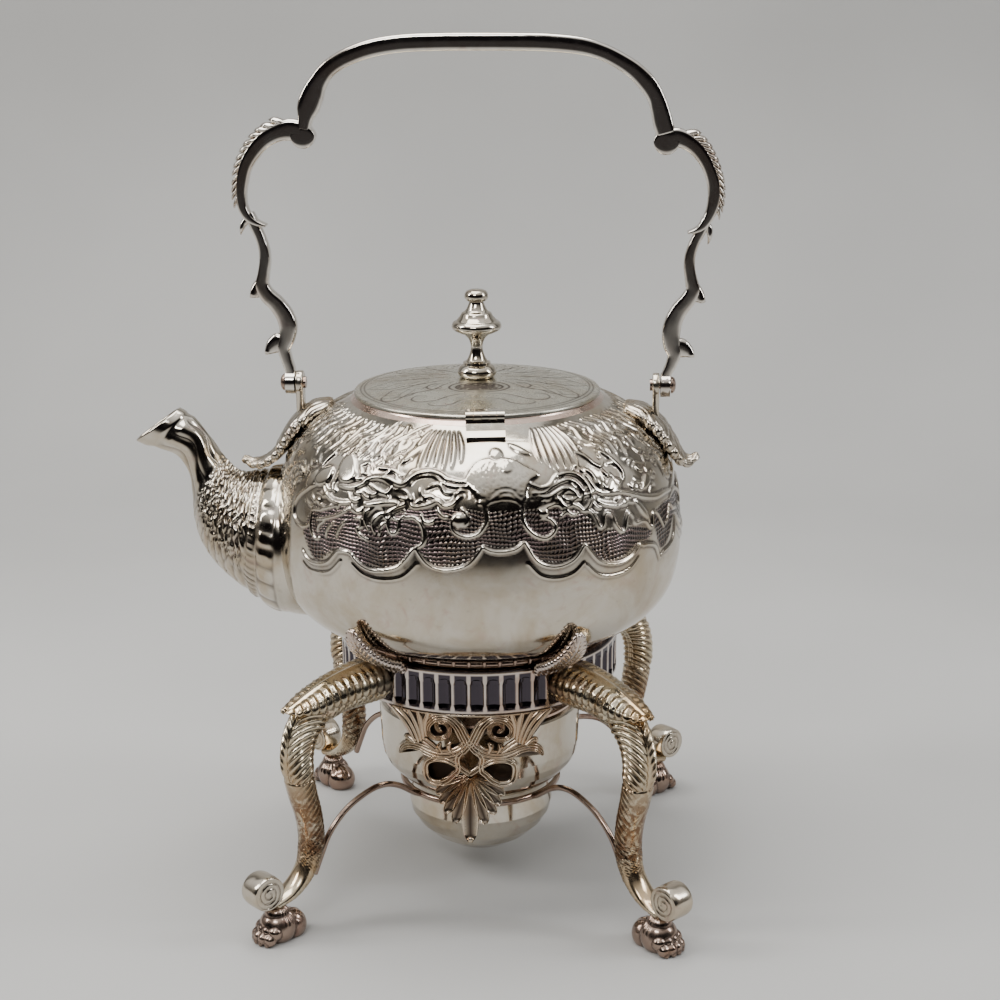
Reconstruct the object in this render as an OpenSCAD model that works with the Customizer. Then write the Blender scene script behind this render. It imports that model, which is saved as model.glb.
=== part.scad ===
// Spirit kettle on its stand: a squat round kettle with a hinged lid and a bail handle,
// seated in a fluted ring on four scroll legs, with a spirit burner slung in wires below.
// The floor is z = 0 and the stand's axis is x = y = 0. The spout points along -X, the
// handle swings about X, and the lid hinge is on the -Y side.

/* [Stand] */
// Outer radius of the fluted ring
ring_r = 63.5; // [62:0.5:65]
// Height of the fluted ring's top face above the floor
ring_top = 118; // [116:0.5:118]
// Height of the fluted ring
ring_h = 19.6; // [18:0.2:20]
// Number of flutes round the ring
flutes = 56; // [40:2:58]
// Radius of the scroll rolls above the paws
roll_r = 8; // [7:0.25:8]
// Length of the scroll rolls
roll_w = 11.5; // [10:0.5:13]
// Diameter of the curved wires that carry the burner
wire_d = 2.8; // [2.4:0.1:3]
// Radius of the lamp ring's centre line
lamp_ring_r = 36.3; // [36:0.1:37]

/* [Kettle] */
// Thickness of the sheet metal
wall = 1.2; // [1:0.1:1.5]
// Radius of the foot rim that stands on the ring
foot_r = 60.2; // [59.5:0.1:60.5]
// Number of beads round the foot rim
foot_beads = 56; // [48:2:64]
// Inner radius of the mouth under the lid
mouth_r = 50; // [49.8:0.1:50.5]
// Wall of the spout
spout_wall = 1.4; // [1.2:0.1:1.6]
// Diameter of the strainer holes behind the spout
strainer_d = 4; // [3:0.5:4.5]

/* [Lid] */
// Radius of the lid
lid_r = 55; // [54:0.25:55]
// Rise of the lid's dome
lid_rise = 5.2; // [4:0.2:6]
// How far the hinge sits round from square to the handle, degrees
lid_turn = 7.5; // [0:0.5:10]
// Width of the hinge
hinge_w = 16.4; // [15:0.2:20]
// Radius of the hinge knuckles
knuckle_r = 2.4; // [2.2:0.1:2.5]

/* [Handle] */
// Height of the handle's pivots above the floor
pivot_z = 232; // [231:0.5:233]
// Distance of the middle of each handle tongue from the axis
pivot_x = 83.9; // [83.5:0.1:84.5]
// Diameter of the pivot rivets
rivet_d = 3.4; // [3:0.1:3.6]
// Depth of the handle bar, front to back
bar_depth = 7; // [6:0.5:8]

/* [Burner] */
// Radius of the wide upper bowl
bowl_r = 47; // [46:0.5:48]
// Radius of the reservoir below it
tank_r = 33.6; // [33:0.2:33.8]
// Diameter of the wick tube
wick_d = 15; // [12:1:18]

/* [Hidden] */
$fn = 64;

CORNERS = [["front_left", -135], ["front_right", -45], ["back_right", 45], ["back_left", 135]];
SIDES = [["front", -90], ["back", 90]];
CLIPS = [["front_left", -121.5], ["front_right", -58.5], ["back_right", 58.5], ["back_left", 121.5]];
HANDS = [["left", 180], ["right", 0]];

// Lobes of the apron's palmette: angle, length and half width.
PALMETTE = [[0, 32, 3.2], [17, 24, 2.5], [31, 21.6, 2.4], [44, 19.4, 2.3], [57, 18.2, 2.2]];

silver = "#c9c3b6";
dark_silver = "#8d867a";
copper = "#a8765c";

ring_bottom = ring_top - ring_h;
roll_x = 125.4;
roll_z = 24.9;
neck_z = 226;
seat_z = 228.4;
lid_z = seat_z + 0.2;
lid_edge = 1.3;
hinge_y = -58;
hinge_z = lid_z + 1.7;
pin_d = 1.6;
tongue_t = 4.6;
lug_t = 3;
lug_x = pivot_x - tongue_t / 2 - 0.3 - lug_t;
lamp_ring_z = 44;

// Outer line of the kettle's belly from the foot up to the neck, as radius and height.
belly = [[58.6, 120.4], [68, 124.6], [79.6, 131.4], [87.6, 141.4], [91.2, 154], [92, 167],
    [91.1, 180], [88.2, 194], [83.6, 205.4], [76.4, 214.4], [67.4, 220.8], [56.6, neck_z]];

// The kettle's underside, which hangs inside the ring.
base = [[0, 112.4], [40, 112.8], [51, 115.2], [54.4, 118.3]];

// Stations along a leg in its own upright plane: distance out, height, half of the
// thickness in that plane, and half of the width across it.
leg_line = [[58, 106.4, 8.8, 13.4], [70, 106, 8.2, 12], [84, 104.6, 7.6, 9.6], [94.4, 100.6, 7.2, 8],
    [101.4, 94, 6.9, 7.4], [104.6, 85, 6.7, 7.1], [104.8, 75, 6.5, 6.9], [102.8, 64, 6.1, 6.6],
    [100, 53, 5.7, 6.2], [98.9, 42, 5.4, 5.9], [100.6, 32.4, 4.8, 5.8], [105.2, 25, 3.8, 5.8],
    [112.4, 19.8, 2.9, 5.7], [122.5, 17.4, 2.4, 5.7]];
// Where the leg's lower part begins among its smoothed stations, for the wire and for the paw.
leg_shin = 16;
leg_foot = 22;
// The leaf that caps the knee and ends in a point.
knee_line = [[80, 107.6, 6.4, 8], [94, 107, 5, 7.6], [103.4, 105.4, 3.2, 6], [111, 103.8, 0.8, 1.6]];
// A leaf tip that clasps the kettle above the ring.
clip_line = [[62.9, 115.6, 1.4, 4.6], [66.6, 119.8, 1.4, 5.2], [73.6, 123.4, 1.4, 5.4],
    [81.8, 128.8, 1.3, 4.8], [88, 135.4, 1.2, 3.6], [91.6, 141.4, 0.8, 1.2]];
// The wire from the foot of a leg over to the lamp ring.
wire_line = [[97.5, 24], [93.6, 32], [89.6, 39.6], [84.6, 45.2], [78.4, 49.8], [71, 53],
    [63, 54.9], [55.4, 54.4], [48.6, 51.6], [43, 47.8], [39.4, 45.4], [37, 44.2]];

// Stations along the spout: x and height of its lower line, x and height of its upper line,
// and half of its width.
spout_line = [[-70, 123, -70, 192, 37], [-88, 124.8, -87, 192.4, 35], [-103, 133.2, -98.4, 189.8, 29],
    [-118.4, 145.6, -106, 188.3, 22.6], [-126.8, 157.1, -111, 189.6, 17.4], [-130.2, 169, -114, 192.4, 13.6],
    [-130.6, 179, -116.6, 196, 10.8], [-131.2, 188.4, -119.4, 200.4, 9], [-133.8, 194.7, -122.4, 205.4, 8.4],
    [-138, 199, -125.8, 211.2, 8.6], [-144.4, 201.3, -130.2, 215.6, 9], [-152.6, 201.3, -135.8, 220.6, 9.2],
    [-160, 203.4, -141, 227, 8.6]];
mouth_tip = [-155.5, 204.4];
mouth_top = [-135.1, 219.1];
// A leaf mount over the shoulder, from beside the lug out to where its tip begins.
mount_line = [[66, 221.4, 3, 8], [73, 219.4, 4.6, 11], [80.4, 213.6, 5, 13], [86, 206, 4.2, 12.4],
    [90, 200.2, 3.2, 10]];
// The curled tips of the left and the right mount: the left one reaches further out.
mount_tips = [
    [[96.4, 195.4, 2, 7.4], [102.6, 194.6, 1.3, 4.4], [107, 196.6, 0.8, 1.6]],
    [[93.4, 197.6, 2, 7.4], [96.6, 198.4, 1.3, 4.4], [99, 200.2, 0.8, 1.6]]];

// The handle's arch from the left scroll over to the right one, with half thicknesses. The hand
// bent bar isn't quite even: its right shoulder is fuller than the left.
arch_line = [[-74.6, 343.8, 2.9], [-73.5, 348.6, 3.2], [-72.3, 353, 4.9], [-70.3, 358.4, 5.1],
    [-67.4, 364.2, 4.1], [-62.6, 370, 3.7], [-54.6, 374.8, 3.9], [-44, 378.4, 4], [-31, 380.4, 4],
    [-16, 381, 4], [0, 381.1, 4], [16, 381, 4], [32, 380.6, 4], [45.6, 379.2, 3.9], [54.4, 376.8, 3.7],
    [61.6, 373.4, 3.6], [68.6, 368.8, 3.9], [74.4, 363, 4], [77.8, 357.6, 3.8], [79.6, 352.4, 4.2],
    [81.1, 346.6, 4.4], [82.3, 341.8, 4.2]];
// The two arms of the handle, left and then right, both drawn on the +X side. The C-scroll runs
// from the ball out and down to its lip.
c_scrolls = [
    [[76, 343.4, 4.6], [80.6, 344, 4.9], [86, 342.8, 4.2], [92, 339.5, 3.8], [97.2, 334, 3.5],
        [100.8, 327.6, 3], [102.5, 320.6, 2.6], [102.9, 315, 2.2], [102.3, 310, 2.1], [100.2, 306.2, 2],
        [96.8, 303.8, 1.5], [92.6, 302.5, 0.6]],
    [[83.6, 340.2, 4.2], [87.2, 340.6, 4.3], [91.4, 339.2, 3.8], [95.8, 335.8, 3.4], [99.7, 330.4, 3.1],
        [102.3, 324.4, 3], [103.5, 318.6, 3], [103.3, 312.6, 2.8], [101.7, 307.4, 2.5], [99, 303, 2],
        [96, 301, 1.2], [92.6, 300, 0.5]]];
// The lower scroll, from under the lip down to the tongue on the pivot.
s_scrolls = [
    [[100, 307.6, 1.8], [97.6, 302.6, 1.7], [95, 296.4, 1.7], [93.7, 291, 1.8], [93.6, 286, 1.9],
        [94.4, 281, 2], [95.4, 276, 2.2], [93.4, 271.8, 2.5], [89.2, 267.6, 2.8], [85.8, 262.6, 3],
        [84.2, 257.4, 3.1], [84.9, 252.2, 2.7], [86.4, 247.4, 2.2], [85.4, 242.4, 1.9], [84, 237.4, 1.8],
        [pivot_x, pivot_z, 2]],
    [[100.6, 305.6, 1.8], [98, 300.4, 1.7], [95.4, 295.2, 1.7], [93.8, 290, 1.8], [93.5, 285, 1.9],
        [94.3, 279.6, 2.1], [95.2, 274.6, 2.3], [93, 270.2, 2.6], [89.4, 265.6, 2.8], [87, 260.4, 3],
        [86.1, 255.2, 3.1], [86.5, 250.2, 2.9], [87.6, 245.8, 2.3], [86.3, 241.4, 1.9], [84.4, 237.2, 1.7],
        [pivot_x, pivot_z, 1.9]]];
// Outlines of each arm's pointed cusps and of the leaf tip under the C-scroll.
cusps = [
    [[[93.6, 277.6], [97.2, 276.4], [101, 270.8], [97.8, 269.4], [91.6, 268.4]],
        [[86.4, 252.4], [90.4, 250.2], [93.2, 249.2], [95, 244.8], [91.8, 243.6], [85.6, 243.6]],
        [[100, 307], [103.2, 303.4], [104, 298.6], [101, 300.6], [97.6, 301.4]]],
    [[[93.6, 276.6], [97.6, 275.4], [100.6, 269.8], [97.8, 266.8], [91.6, 266]],
        [[87.4, 252], [90.6, 250], [93.4, 248.4], [96.2, 245], [94.6, 242.2], [91.6, 240.8],
            [86.6, 241.6]],
        [[100, 306], [102.2, 302.6], [101, 294.6], [98.4, 298.4], [95.6, 300.4]]]];
// The ball at the top of each arm, as x, z and radius.
ball_spots = [[74.8, 341.2, 5.4], [82.6, 338.8, 5.6]];

// One point of a smooth curve that passes through p1 and p2.
function through(p0, p1, p2, p3, t) = 0.5 * (2 * p1 + (p2 - p0) * t
    + (2 * p0 - 5 * p1 + 4 * p2 - p3) * t * t + (3 * p1 - p0 - 3 * p2 + p3) * t * t * t);
// A smooth curve through all points of p, with n steps between neighbours.
function smooth(p, n) = let (m = len(p) - 1) concat(
    [for (i = [0:m - 1]) for (k = [0:n - 1])
        through(p[max(i - 1, 0)], p[i], p[i + 1], p[min(i + 2, m)], k / n)],
    [p[m]]);
function unit(v) = v / norm(v);
function heading(s, i) = let (m = len(s) - 1, a = s[max(i - 1, 0)], b = s[min(i + 1, m)])
    unit([b[0] - a[0], b[1] - a[1]]);
// The ring of m corners round station i, each half width made larger by grow.
function ring_at(s, i, m, grow = 0) = let (t = heading(s, i)) [for (j = [0:m - 1])
    let (f = 360 * (j + 0.5) / m, u = (s[i][2] + grow) * cos(f))
    [s[i][0] - t[1] * u, (s[i][3] + grow) * sin(f), s[i][1] + t[0] * u]];
function skin(rows, m, at, turned) = [for (i = [0:rows - 2]) for (j = [0:m - 1])
    let (a = at + i * m + j, b = at + i * m + (j + 1) % m, c = a + m, d = b + m)
    each turned ? [[b, a, c], [b, c, d]] : [[a, b, c], [c, b, d]]];

// A solid swept through stations [x, z, half thickness, half width] in the XZ plane, or through
// the smoothed stations from number first to number last alone.
module loft(p, n = 2, m = 12, first = 0, last = -1) {
    s = smooth(p, n);
    end = last < 0 ? len(s) - 1 : last;
    rows = end - first + 1;
    points = [for (i = [first:end]) each ring_at(s, i, m)];
    caps = [[for (j = [m - 1:-1:0]) j], [for (j = [0:m - 1]) (rows - 1) * m + j]];
    polyhedron(points, concat(skin(rows, m, 0, false), caps));
}

// The ring of m corners at a station [x0, z0, x1, z1, half width], made smaller by inset.
function rail_ring(q, m, inset = 0) = let (c = [q[0] + q[2], q[1] + q[3]] / 2,
    d = [q[2] - q[0], q[3] - q[1]] / 2, e = d * (1 - inset / norm(d)))
    [for (j = [0:m - 1]) let (f = 360 * (j + 0.5) / m)
        [c[0] + e[0] * cos(f), -(q[4] - inset) * sin(f), c[1] + e[1] * cos(f)]];

// An open-ended tube swept through such stations, with the given wall.
module rail_tube(p, n, m, thick) {
    s = smooth(p, n);
    rows = len(s);
    size = rows * m;
    last = size - m;
    outside = [for (q = s) each rail_ring(q, m)];
    inside = [for (q = s) each rail_ring(q, m, thick)];
    start = [for (j = [0:m - 1]) let (k = (j + 1) % m)
        each [[k, j, size + j], [k, size + j, size + k]]];
    finish = [for (j = [0:m - 1]) let (k = (j + 1) % m)
        each [[last + j, last + k, size + last + j], [last + k, size + last + k, size + last + j]]];
    polyhedron(concat(outside, inside),
        concat(skin(rows, m, 0, false), skin(rows, m, size, true), start, finish));
}

// Outline of a ribbon through points [x, y, half width].
function ribbon(p, n) = let (s = smooth(p, n), m = len(s) - 1) concat(
    [for (i = [0:m]) let (t = heading(s, i)) [s[i][0] - t[1] * s[i][2], s[i][1] + t[0] * s[i][2]]],
    [for (i = [m:-1:0]) let (t = heading(s, i)) [s[i][0] + t[1] * s[i][2], s[i][1] - t[0] * s[i][2]]]);
// Points of a spiral ribbon about [cx, cy].
function spiral(cx, cy, r0, r1, a0, a1, w0, w1, steps) = [for (k = [0:steps]) let (f = k / steps,
    r = r0 + (r1 - r0) * f, a = a0 + (a1 - a0) * f) [cx + r * cos(a), cy + r * sin(a), w0 + (w1 - w0) * f]];

// The kettle's outside as a solid, grown by a clearance where a neighbour is cut to it.
module belly_solid(grow = 0) {
    line = smooth(belly, 3);
    rotate_extrude($fn = 96)
        polygon(concat([for (q = base) [q[0], q[1] - grow]], [for (q = line) [q[0] + grow, q[1]]],
            [[0, neck_z]]));
}

// Stand

module ring_band() {
    flute_r = 4.2;
    flute_c = ring_r + 2.7;
    flute_h = ring_h - 4;
    cutter = [[0, 0], [flute_r - 1.9, 0], [flute_r - 0.5, 1.2], [flute_r, 3.2], [flute_r, flute_h - 3.2],
        [flute_r - 0.5, flute_h - 1.2], [flute_r - 1.9, flute_h], [0, flute_h]];
    color(silver) difference() {
        rotate_extrude($fn = 96)
            polygon([[55.5, ring_bottom], [ring_r - 0.6, ring_bottom], [ring_r, ring_bottom + 0.6],
                [ring_r, ring_top - 0.8], [ring_r - 0.8, ring_top], [55.5, ring_top]]);
        for (i = [0:flutes - 1])
            rotate([0, 0, 360 / flutes * (i + 0.5)])
                translate([flute_c, 0, ring_bottom + 1.2])
                    rotate_extrude($fn = 24)
                        polygon(cutter);
    }
}

module leg() {
    color(silver) difference() {
        union() {
            loft(leg_line, 2, 12);
            loft(knee_line, 2, 8);
        }
        translate([0, 0, ring_bottom - 12])
            cylinder(r = ring_r, h = ring_h + 24, $fn = 96);
        translate([roll_x, 0, roll_z])
            rotate([90, 0, 0])
                cylinder(r = roll_r, h = 30, center = true);
    }
}

module roll_spiral() {
    linear_extrude(1.2, center = true)
        polygon(ribbon(spiral(0, 0, 1.6, roll_r - 2, 0, 560, 0.55, 0.75, 28), 1));
}

module scroll() {
    color(silver) translate([roll_x, 0, roll_z]) rotate([90, 0, 0]) difference() {
        cylinder(r = roll_r, h = roll_w, center = true);
        translate([0, 0, roll_w / 2])
            roll_spiral();
        translate([0, 0, -roll_w / 2])
            roll_spiral();
    }
}

module paw() {
    toe_r = 3.3;
    color(dark_silver) difference() {
        union() {
            translate([111.6, 0, 4.4])
                sphere(r = 7.4, $fn = 48);
            translate([118.6, 0, 5.4])
                sphere(r = 8.8, $fn = 48);
            translate([118.6, 0, 5])
                cylinder(r = 5.4, h = 13.4);
            for (k = [-1.5:1:1.5])
                rotate([0, 0, k * 1.1]) {
                    translate([127.2 - abs(k) * 1.1, k * 2.6, 3.4])
                        sphere(r = toe_r, $fn = 32);
                    translate([116, k * 2.3, 6.4])
                        rotate([0, 105, 0])
                            cylinder(r = toe_r - 0.1, h = 11.2 - abs(k), $fn = 32);
                }
        }
        translate([90, -20, -20])
            cube([60, 40, 20]);
        translate([roll_x, 0, roll_z])
            rotate([90, 0, 0])
                cylinder(r = roll_r, h = 30, center = true);
        loft(leg_line, 2, 12, leg_foot);
    }
}

module clip() {
    color(silver) difference() {
        loft(clip_line, 2, 8);
        belly_solid(0.35);
        translate([0, 0, ring_top - 20])
            cylinder(r = ring_r, h = 20, $fn = 96);
    }
}

module wire() {
    color(dark_silver) difference() {
        loft([for (q = wire_line) [q[0], q[1], wire_d / 2, wire_d / 2]], 2, 8);
        loft(leg_line, 2, 12, leg_shin);
        lamp_ring();
    }
}

module lamp_ring() {
    color(dark_silver) rotate_extrude($fn = 96)
        translate([lamp_ring_r, lamp_ring_z])
            circle(r = 1.5, $fn = 24);
}

// One half of the pierced apron, as x from the middle and height above the floor.
module apron_half() {
    // Upper band of the large volute, its eye, and the leaf that fans out to the ring.
    polygon(ribbon([[0.6, 83.6, 1.9], [3, 88.2, 1.8], [5, 92.4, 1.7], [8.4, 95.6, 1.6], [12.8, 96.2, 1.6],
        [16.8, 94.6, 1.5], [19.4, 91.6, 1.4]], 3));
    polygon(ribbon([[18.6, 92.4, 1.3], [16.9, 88.2, 1.1], [13.2, 86.6, 1], [9.4, 87.8, 0.9], [8.2, 90.8, 0.9],
        [9.6, 93.4, 0.9], [12.4, 94, 0.8], [14.6, 92.6, 0.8], [14.8, 90.4, 0.9], [12.9, 89.4, 1.3]], 3));
    polygon([[16.6, 97.4], [35.5, 97.4], [33.4, 94], [30.4, 91], [28.6, 87.6], [26.8, 84.8], [24.6, 82.6],
        [22.4, 84], [20.2, 84.4], [18.6, 86], [19.8, 89], [20.4, 92], [18.8, 95]]);
    // Lower band, which ends in the side leaf, and the curl that joins it to the fan.
    polygon(ribbon([[0.6, 84.6, 1.9], [3.6, 81.4, 2], [8, 79.1, 2.1], [13.4, 78.1, 2.1], [18.4, 79, 2],
        [22.6, 80.6, 1.7], [27, 80.8, 1.7], [30.4, 78.8, 1.3], [31.9, 75.8, 0.5]], 3));
    polygon(ribbon([[13.4, 79.8, 0.8], [16.6, 81.8, 1.3], [20.6, 84.2, 1.5]], 3));
    // Diamond opening in the middle.
    polygon(ribbon([[3.4, 80.6, 1.2], [5.4, 77.4, 1.2], [5, 74.2, 1.2], [2.8, 71.8, 1.2], [-0.4, 70, 1.4]], 3));
    // Small lower volute.
    polygon(ribbon([[5.4, 73.6, 1.2], [10, 75.8, 1.2], [15.4, 76, 1.3], [19.2, 73.8, 1.2], [20, 69.6, 1.3],
        [18.2, 65.6, 1.4], [14.2, 64.6, 1.4], [10.2, 66.4, 1.3], [7.2, 69.4, 1.3]], 3));
    polygon(ribbon([[7.6, 68.8, 1.2], [5.4, 70.8, 1.2], [5, 74.6, 1.2]], 2));
    // Palmette of overlapping lobes about a point in its upper part.
    polygon([[-0.5, 70], [7, 70], [8.4, 66], [8, 61], [5, 55], [2.4, 52], [-0.5, 52]]);
    for (lobe = PALMETTE)
        translate([0, 69])
            rotate(lobe[0])
                polygon(ribbon([[0, -2, 1.2], [0, -9, 1.6], [0, 4 - lobe[1], lobe[2]],
                    [0, 1.6 - lobe[1], lobe[2] * 0.8], [0, -lobe[1], 0.6]], 3));
}

module apron() {
    color(silver) intersection() {
        union() {
            rotate([90, 0, 90])
                linear_extrude(80) {
                    apron_half();
                    mirror([1, 0])
                        apron_half();
                }
            // The band that is soldered under the ring.
            translate([0, -34.6, ring_bottom - 2])
                cube([80, 69.2, 2]);
        }
        difference() {
            cylinder(r = ring_r - 0.9, h = ring_bottom, $fn = 96);
            translate([0, 0, -1])
                cylinder(r = ring_r - 3.3, h = ring_bottom + 2, $fn = 96);
        }
    }
}

// Kettle

module kettle_body() {
    line = smooth(belly, 3);
    inner = [for (i = [len(line) - 1:-1:0]) let (t = heading(line, i))
        line[i] + wall * [-t[1], t[0]]];
    color(silver) difference() {
        rotate_extrude($fn = 96)
            polygon(concat(base, line, [[mouth_r, neck_z + 0.4], [mouth_r, neck_z - wall]], inner,
                [for (i = [len(base) - 1:-1:0]) base[i] + [-i * 0.2, wall * 1.1]]));
        // Strainer holes through the wall behind the spout.
        for (z = [150:8:174])
            for (y = [-12:8:12])
                translate([-100, y, z])
                    rotate([0, 90, 0])
                        cylinder(d = strainer_d, h = 24, $fn = 24);
    }
}

module foot_rim() {
    color(dark_silver) difference() {
        rotate_extrude($fn = 96)
            difference() {
                union() {
                    translate([foot_r - 2.1, ring_top + 2.1])
                        circle(r = 2.1, $fn = 32);
                    translate([foot_r - 5, ring_top + 0.1])
                        square([2.9, 4]);
                }
                polygon(concat(base, smooth(belly, 3), [[0, neck_z]]));
                translate([0, ring_top - 5])
                    square([80, 5.1]);
            }
        for (i = [0:foot_beads - 1])
            rotate([0, 0, 360 / foot_beads * i])
                translate([foot_r + 0.5, 0, ring_top - 1])
                    cylinder(r = 1, h = 6, $fn = 16);
    }
}

module neck_ring() {
    color(copper) rotate_extrude($fn = 96)
        polygon([[mouth_r, neck_z + 0.4], [56.6, neck_z], [55.8, neck_z + 0.8], [55, neck_z + 1.6],
            [54.6, seat_z - 0.2], [54.2, seat_z], [mouth_r, seat_z]]);
}

module spout() {
    slope = atan2(mouth_top[1] - mouth_tip[1], mouth_top[0] - mouth_tip[0]);
    color(silver) difference() {
        rail_tube(spout_line, 2, 20, spout_wall);
        belly_solid();
        // The mouth is cut off along a slant, which leaves its pointed lip.
        translate([mouth_tip[0], 0, mouth_tip[1]])
            rotate([0, -slope, 0])
                translate([-20, -20, 0])
                    cube([60, 40, 30]);
    }
}

// A leaf mount on the +X side, with the lug that carries the handle.
module mount(tip) {
    color(silver) difference() {
        union() {
            loft(concat(mount_line, tip), 2, 12);
            translate([lug_x, 0, 0]) {
                translate([0, -4.2, 212])
                    cube([lug_t, 8.4, pivot_z - 212]);
                translate([0, 0, pivot_z])
                    rotate([0, 90, 0])
                        cylinder(r = 5.4, h = lug_t, $fn = 48);
            }
        }
        belly_solid();
        translate([lug_x - 2, 0, pivot_z])
            rotate([0, 90, 0])
                cylinder(d = rivet_d, h = lug_t + 4, $fn = 32);
        translate([lug_x + lug_t, -20, pivot_z - 6.4])
            cube([12, 40, 20]);
    }
}

// A rivet on the +X side: domed head outside, shank, and a flat end inside the lug.
module rivet() {
    shank = tongue_t + 0.3 + lug_t + 0.3;
    head_x = lug_x + shank;
    color(dark_silver) translate([0, 0, pivot_z]) rotate([0, 90, 0]) {
        translate([0, 0, lug_x - 1.2])
            cylinder(r = 2.6, h = 1.2, $fn = 32);
        translate([0, 0, lug_x])
            cylinder(d = rivet_d, h = shank, $fn = 32);
        translate([0, 0, head_x])
            rotate_extrude($fn = 32)
                polygon([[0, 0], [3.8, 0], [3.7, 0.8], [2.9, 1.6], [1.6, 2.1], [0, 2.2]]);
    }
}

module at_hinge() {
    rotate([0, 0, lid_turn])
        children();
}

// One knuckle of the hinge, from x0 to x1 along the pin.
module knuckle(x0, x1) {
    translate([x0, hinge_y, hinge_z])
        rotate([0, 90, 0])
            cylinder(r = knuckle_r, h = x1 - x0, $fn = 32);
}

module pin_bore() {
    translate([-hinge_w / 2 - 1, hinge_y, hinge_z])
        rotate([0, 90, 0])
            cylinder(d = pin_d + 0.1, h = hinge_w + 2, $fn = 24);
}

function knuckle_x(i) = -hinge_w / 2 + hinge_w / 5 * i;

module hinge_plate() {
    color(silver) at_hinge() difference() {
        union() {
            for (i = [0, 2, 4])
                knuckle(knuckle_x(i) + (i == 0 ? 0 : 0.1), knuckle_x(i + 1) - (i == 4 ? 0 : 0.1));
            translate([-hinge_w / 2, 0, 0])
                rotate([90, 0, 90])
                    linear_extrude(hinge_w)
                        polygon([[hinge_y - 2.3, hinge_z - 0.4], [hinge_y - 1, hinge_z - 3.2],
                            [hinge_y - 1, 223], [hinge_y - 6, 218], [hinge_y - 8.2, 221.8],
                            [hinge_y - 8, 223.4], [hinge_y - 5, 225.4], [hinge_y - 2.8, 228]]);
        }
        belly_solid();
        for (i = [1, 3])
            translate([knuckle_x(i) - 0.1, hinge_y, hinge_z])
                rotate([0, 90, 0])
                    cylinder(r = knuckle_r + 0.35, h = hinge_w / 5 + 0.2, $fn = 32);
        neck_ring();
        pin_bore();
    }
}

module hinge_pin() {
    color(dark_silver) at_hinge()
        translate([-hinge_w / 2, hinge_y, hinge_z])
            rotate([0, 90, 0])
                cylinder(d = pin_d, h = hinge_w, $fn = 24);
}

// Lid

module lid_cover() {
    color(silver) rotate_extrude($fn = 96)
        polygon(concat([[0, lid_z + lid_rise], [0, lid_z + lid_rise + lid_edge]],
            [for (r = [7:6:lid_r - 4]) [r, lid_z + lid_edge + lid_rise * (1 - pow(r / lid_r, 2))]],
            [[lid_r - 0.5, lid_z + lid_edge], [lid_r, lid_z + lid_edge - 0.4], [lid_r, lid_z]],
            [for (r = [lid_r - 1:-6:6]) [r, lid_z + lid_rise * (1 - pow(r / lid_r, 2))]]));
}

module lid_skirt() {
    top = lid_z - 0.05;
    color(copper) rotate_extrude($fn = 96)
        polygon([[48, top - 6], [49.1, top - 6], [49.1, top + 0.8], [48, top + 1.1]]);
}

module lid_strap() {
    color(silver) difference() {
        at_hinge() difference() {
            union() {
                for (i = [1, 3])
                    knuckle(knuckle_x(i) + 0.1, knuckle_x(i + 1) - 0.1);
                for (i = [1, 3])
                    translate([knuckle_x(i) + 0.1, hinge_y, hinge_z - 0.1])
                        cube([hinge_w / 5 - 0.2, 5, 1.4]);
                translate([-hinge_w / 2, hinge_y + 4, hinge_z - 0.6])
                    cube([hinge_w, 5, 1.9]);
            }
            pin_bore();
        }
        lid_cover();
    }
}

module lid_knob() {
    base = lid_z + lid_rise + lid_edge;
    color(silver) rotate_extrude($fn = 64)
        polygon([[0, base], [6.6, base], [7.4, base + 0.8], [8.7, base + 2.4], [8, base + 4.6],
            [6, base + 6.2], [5.9, base + 7.2], [4.4, base + 8], [3.2, base + 10.4], [2.5, base + 13.4],
            [2.9, base + 16.6], [5, base + 19], [8.8, base + 21.2], [11.1, base + 22.8],
            [11, base + 24.2], [8.6, base + 26], [6.3, base + 28.6], [6.2, base + 29.4],
            [3.6, base + 30.6], [2.6, base + 33.6], [3.4, base + 34.6], [5.2, base + 36.2],
            [5.1, base + 37.6], [3.6, base + 39], [0, base + 39.6]]);
}

module knob_nut() {
    color(dark_silver) difference() {
        translate([0, 0, lid_z + lid_rise - 2])
            cylinder(r = 4, h = 2, $fn = 6);
        lid_cover();
    }
}

// Handle

module handle_arch() {
    color(silver) loft([for (q = arch_line) [q[0], q[1], q[2], bar_depth / 2]], 2, 8);
}

// The end of the arch on one side, turned over to the +X side, where its arm is drawn.
module arch_end(side) {
    steps = 2 * (len(arch_line) - 1);
    rotate([0, 0, HANDS[side][1]])
        loft([for (q = arch_line) [q[0], q[1], q[2], bar_depth / 2]], 2, 8,
            side == 0 ? 0 : steps - 8, side == 0 ? 8 : steps);
}

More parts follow.
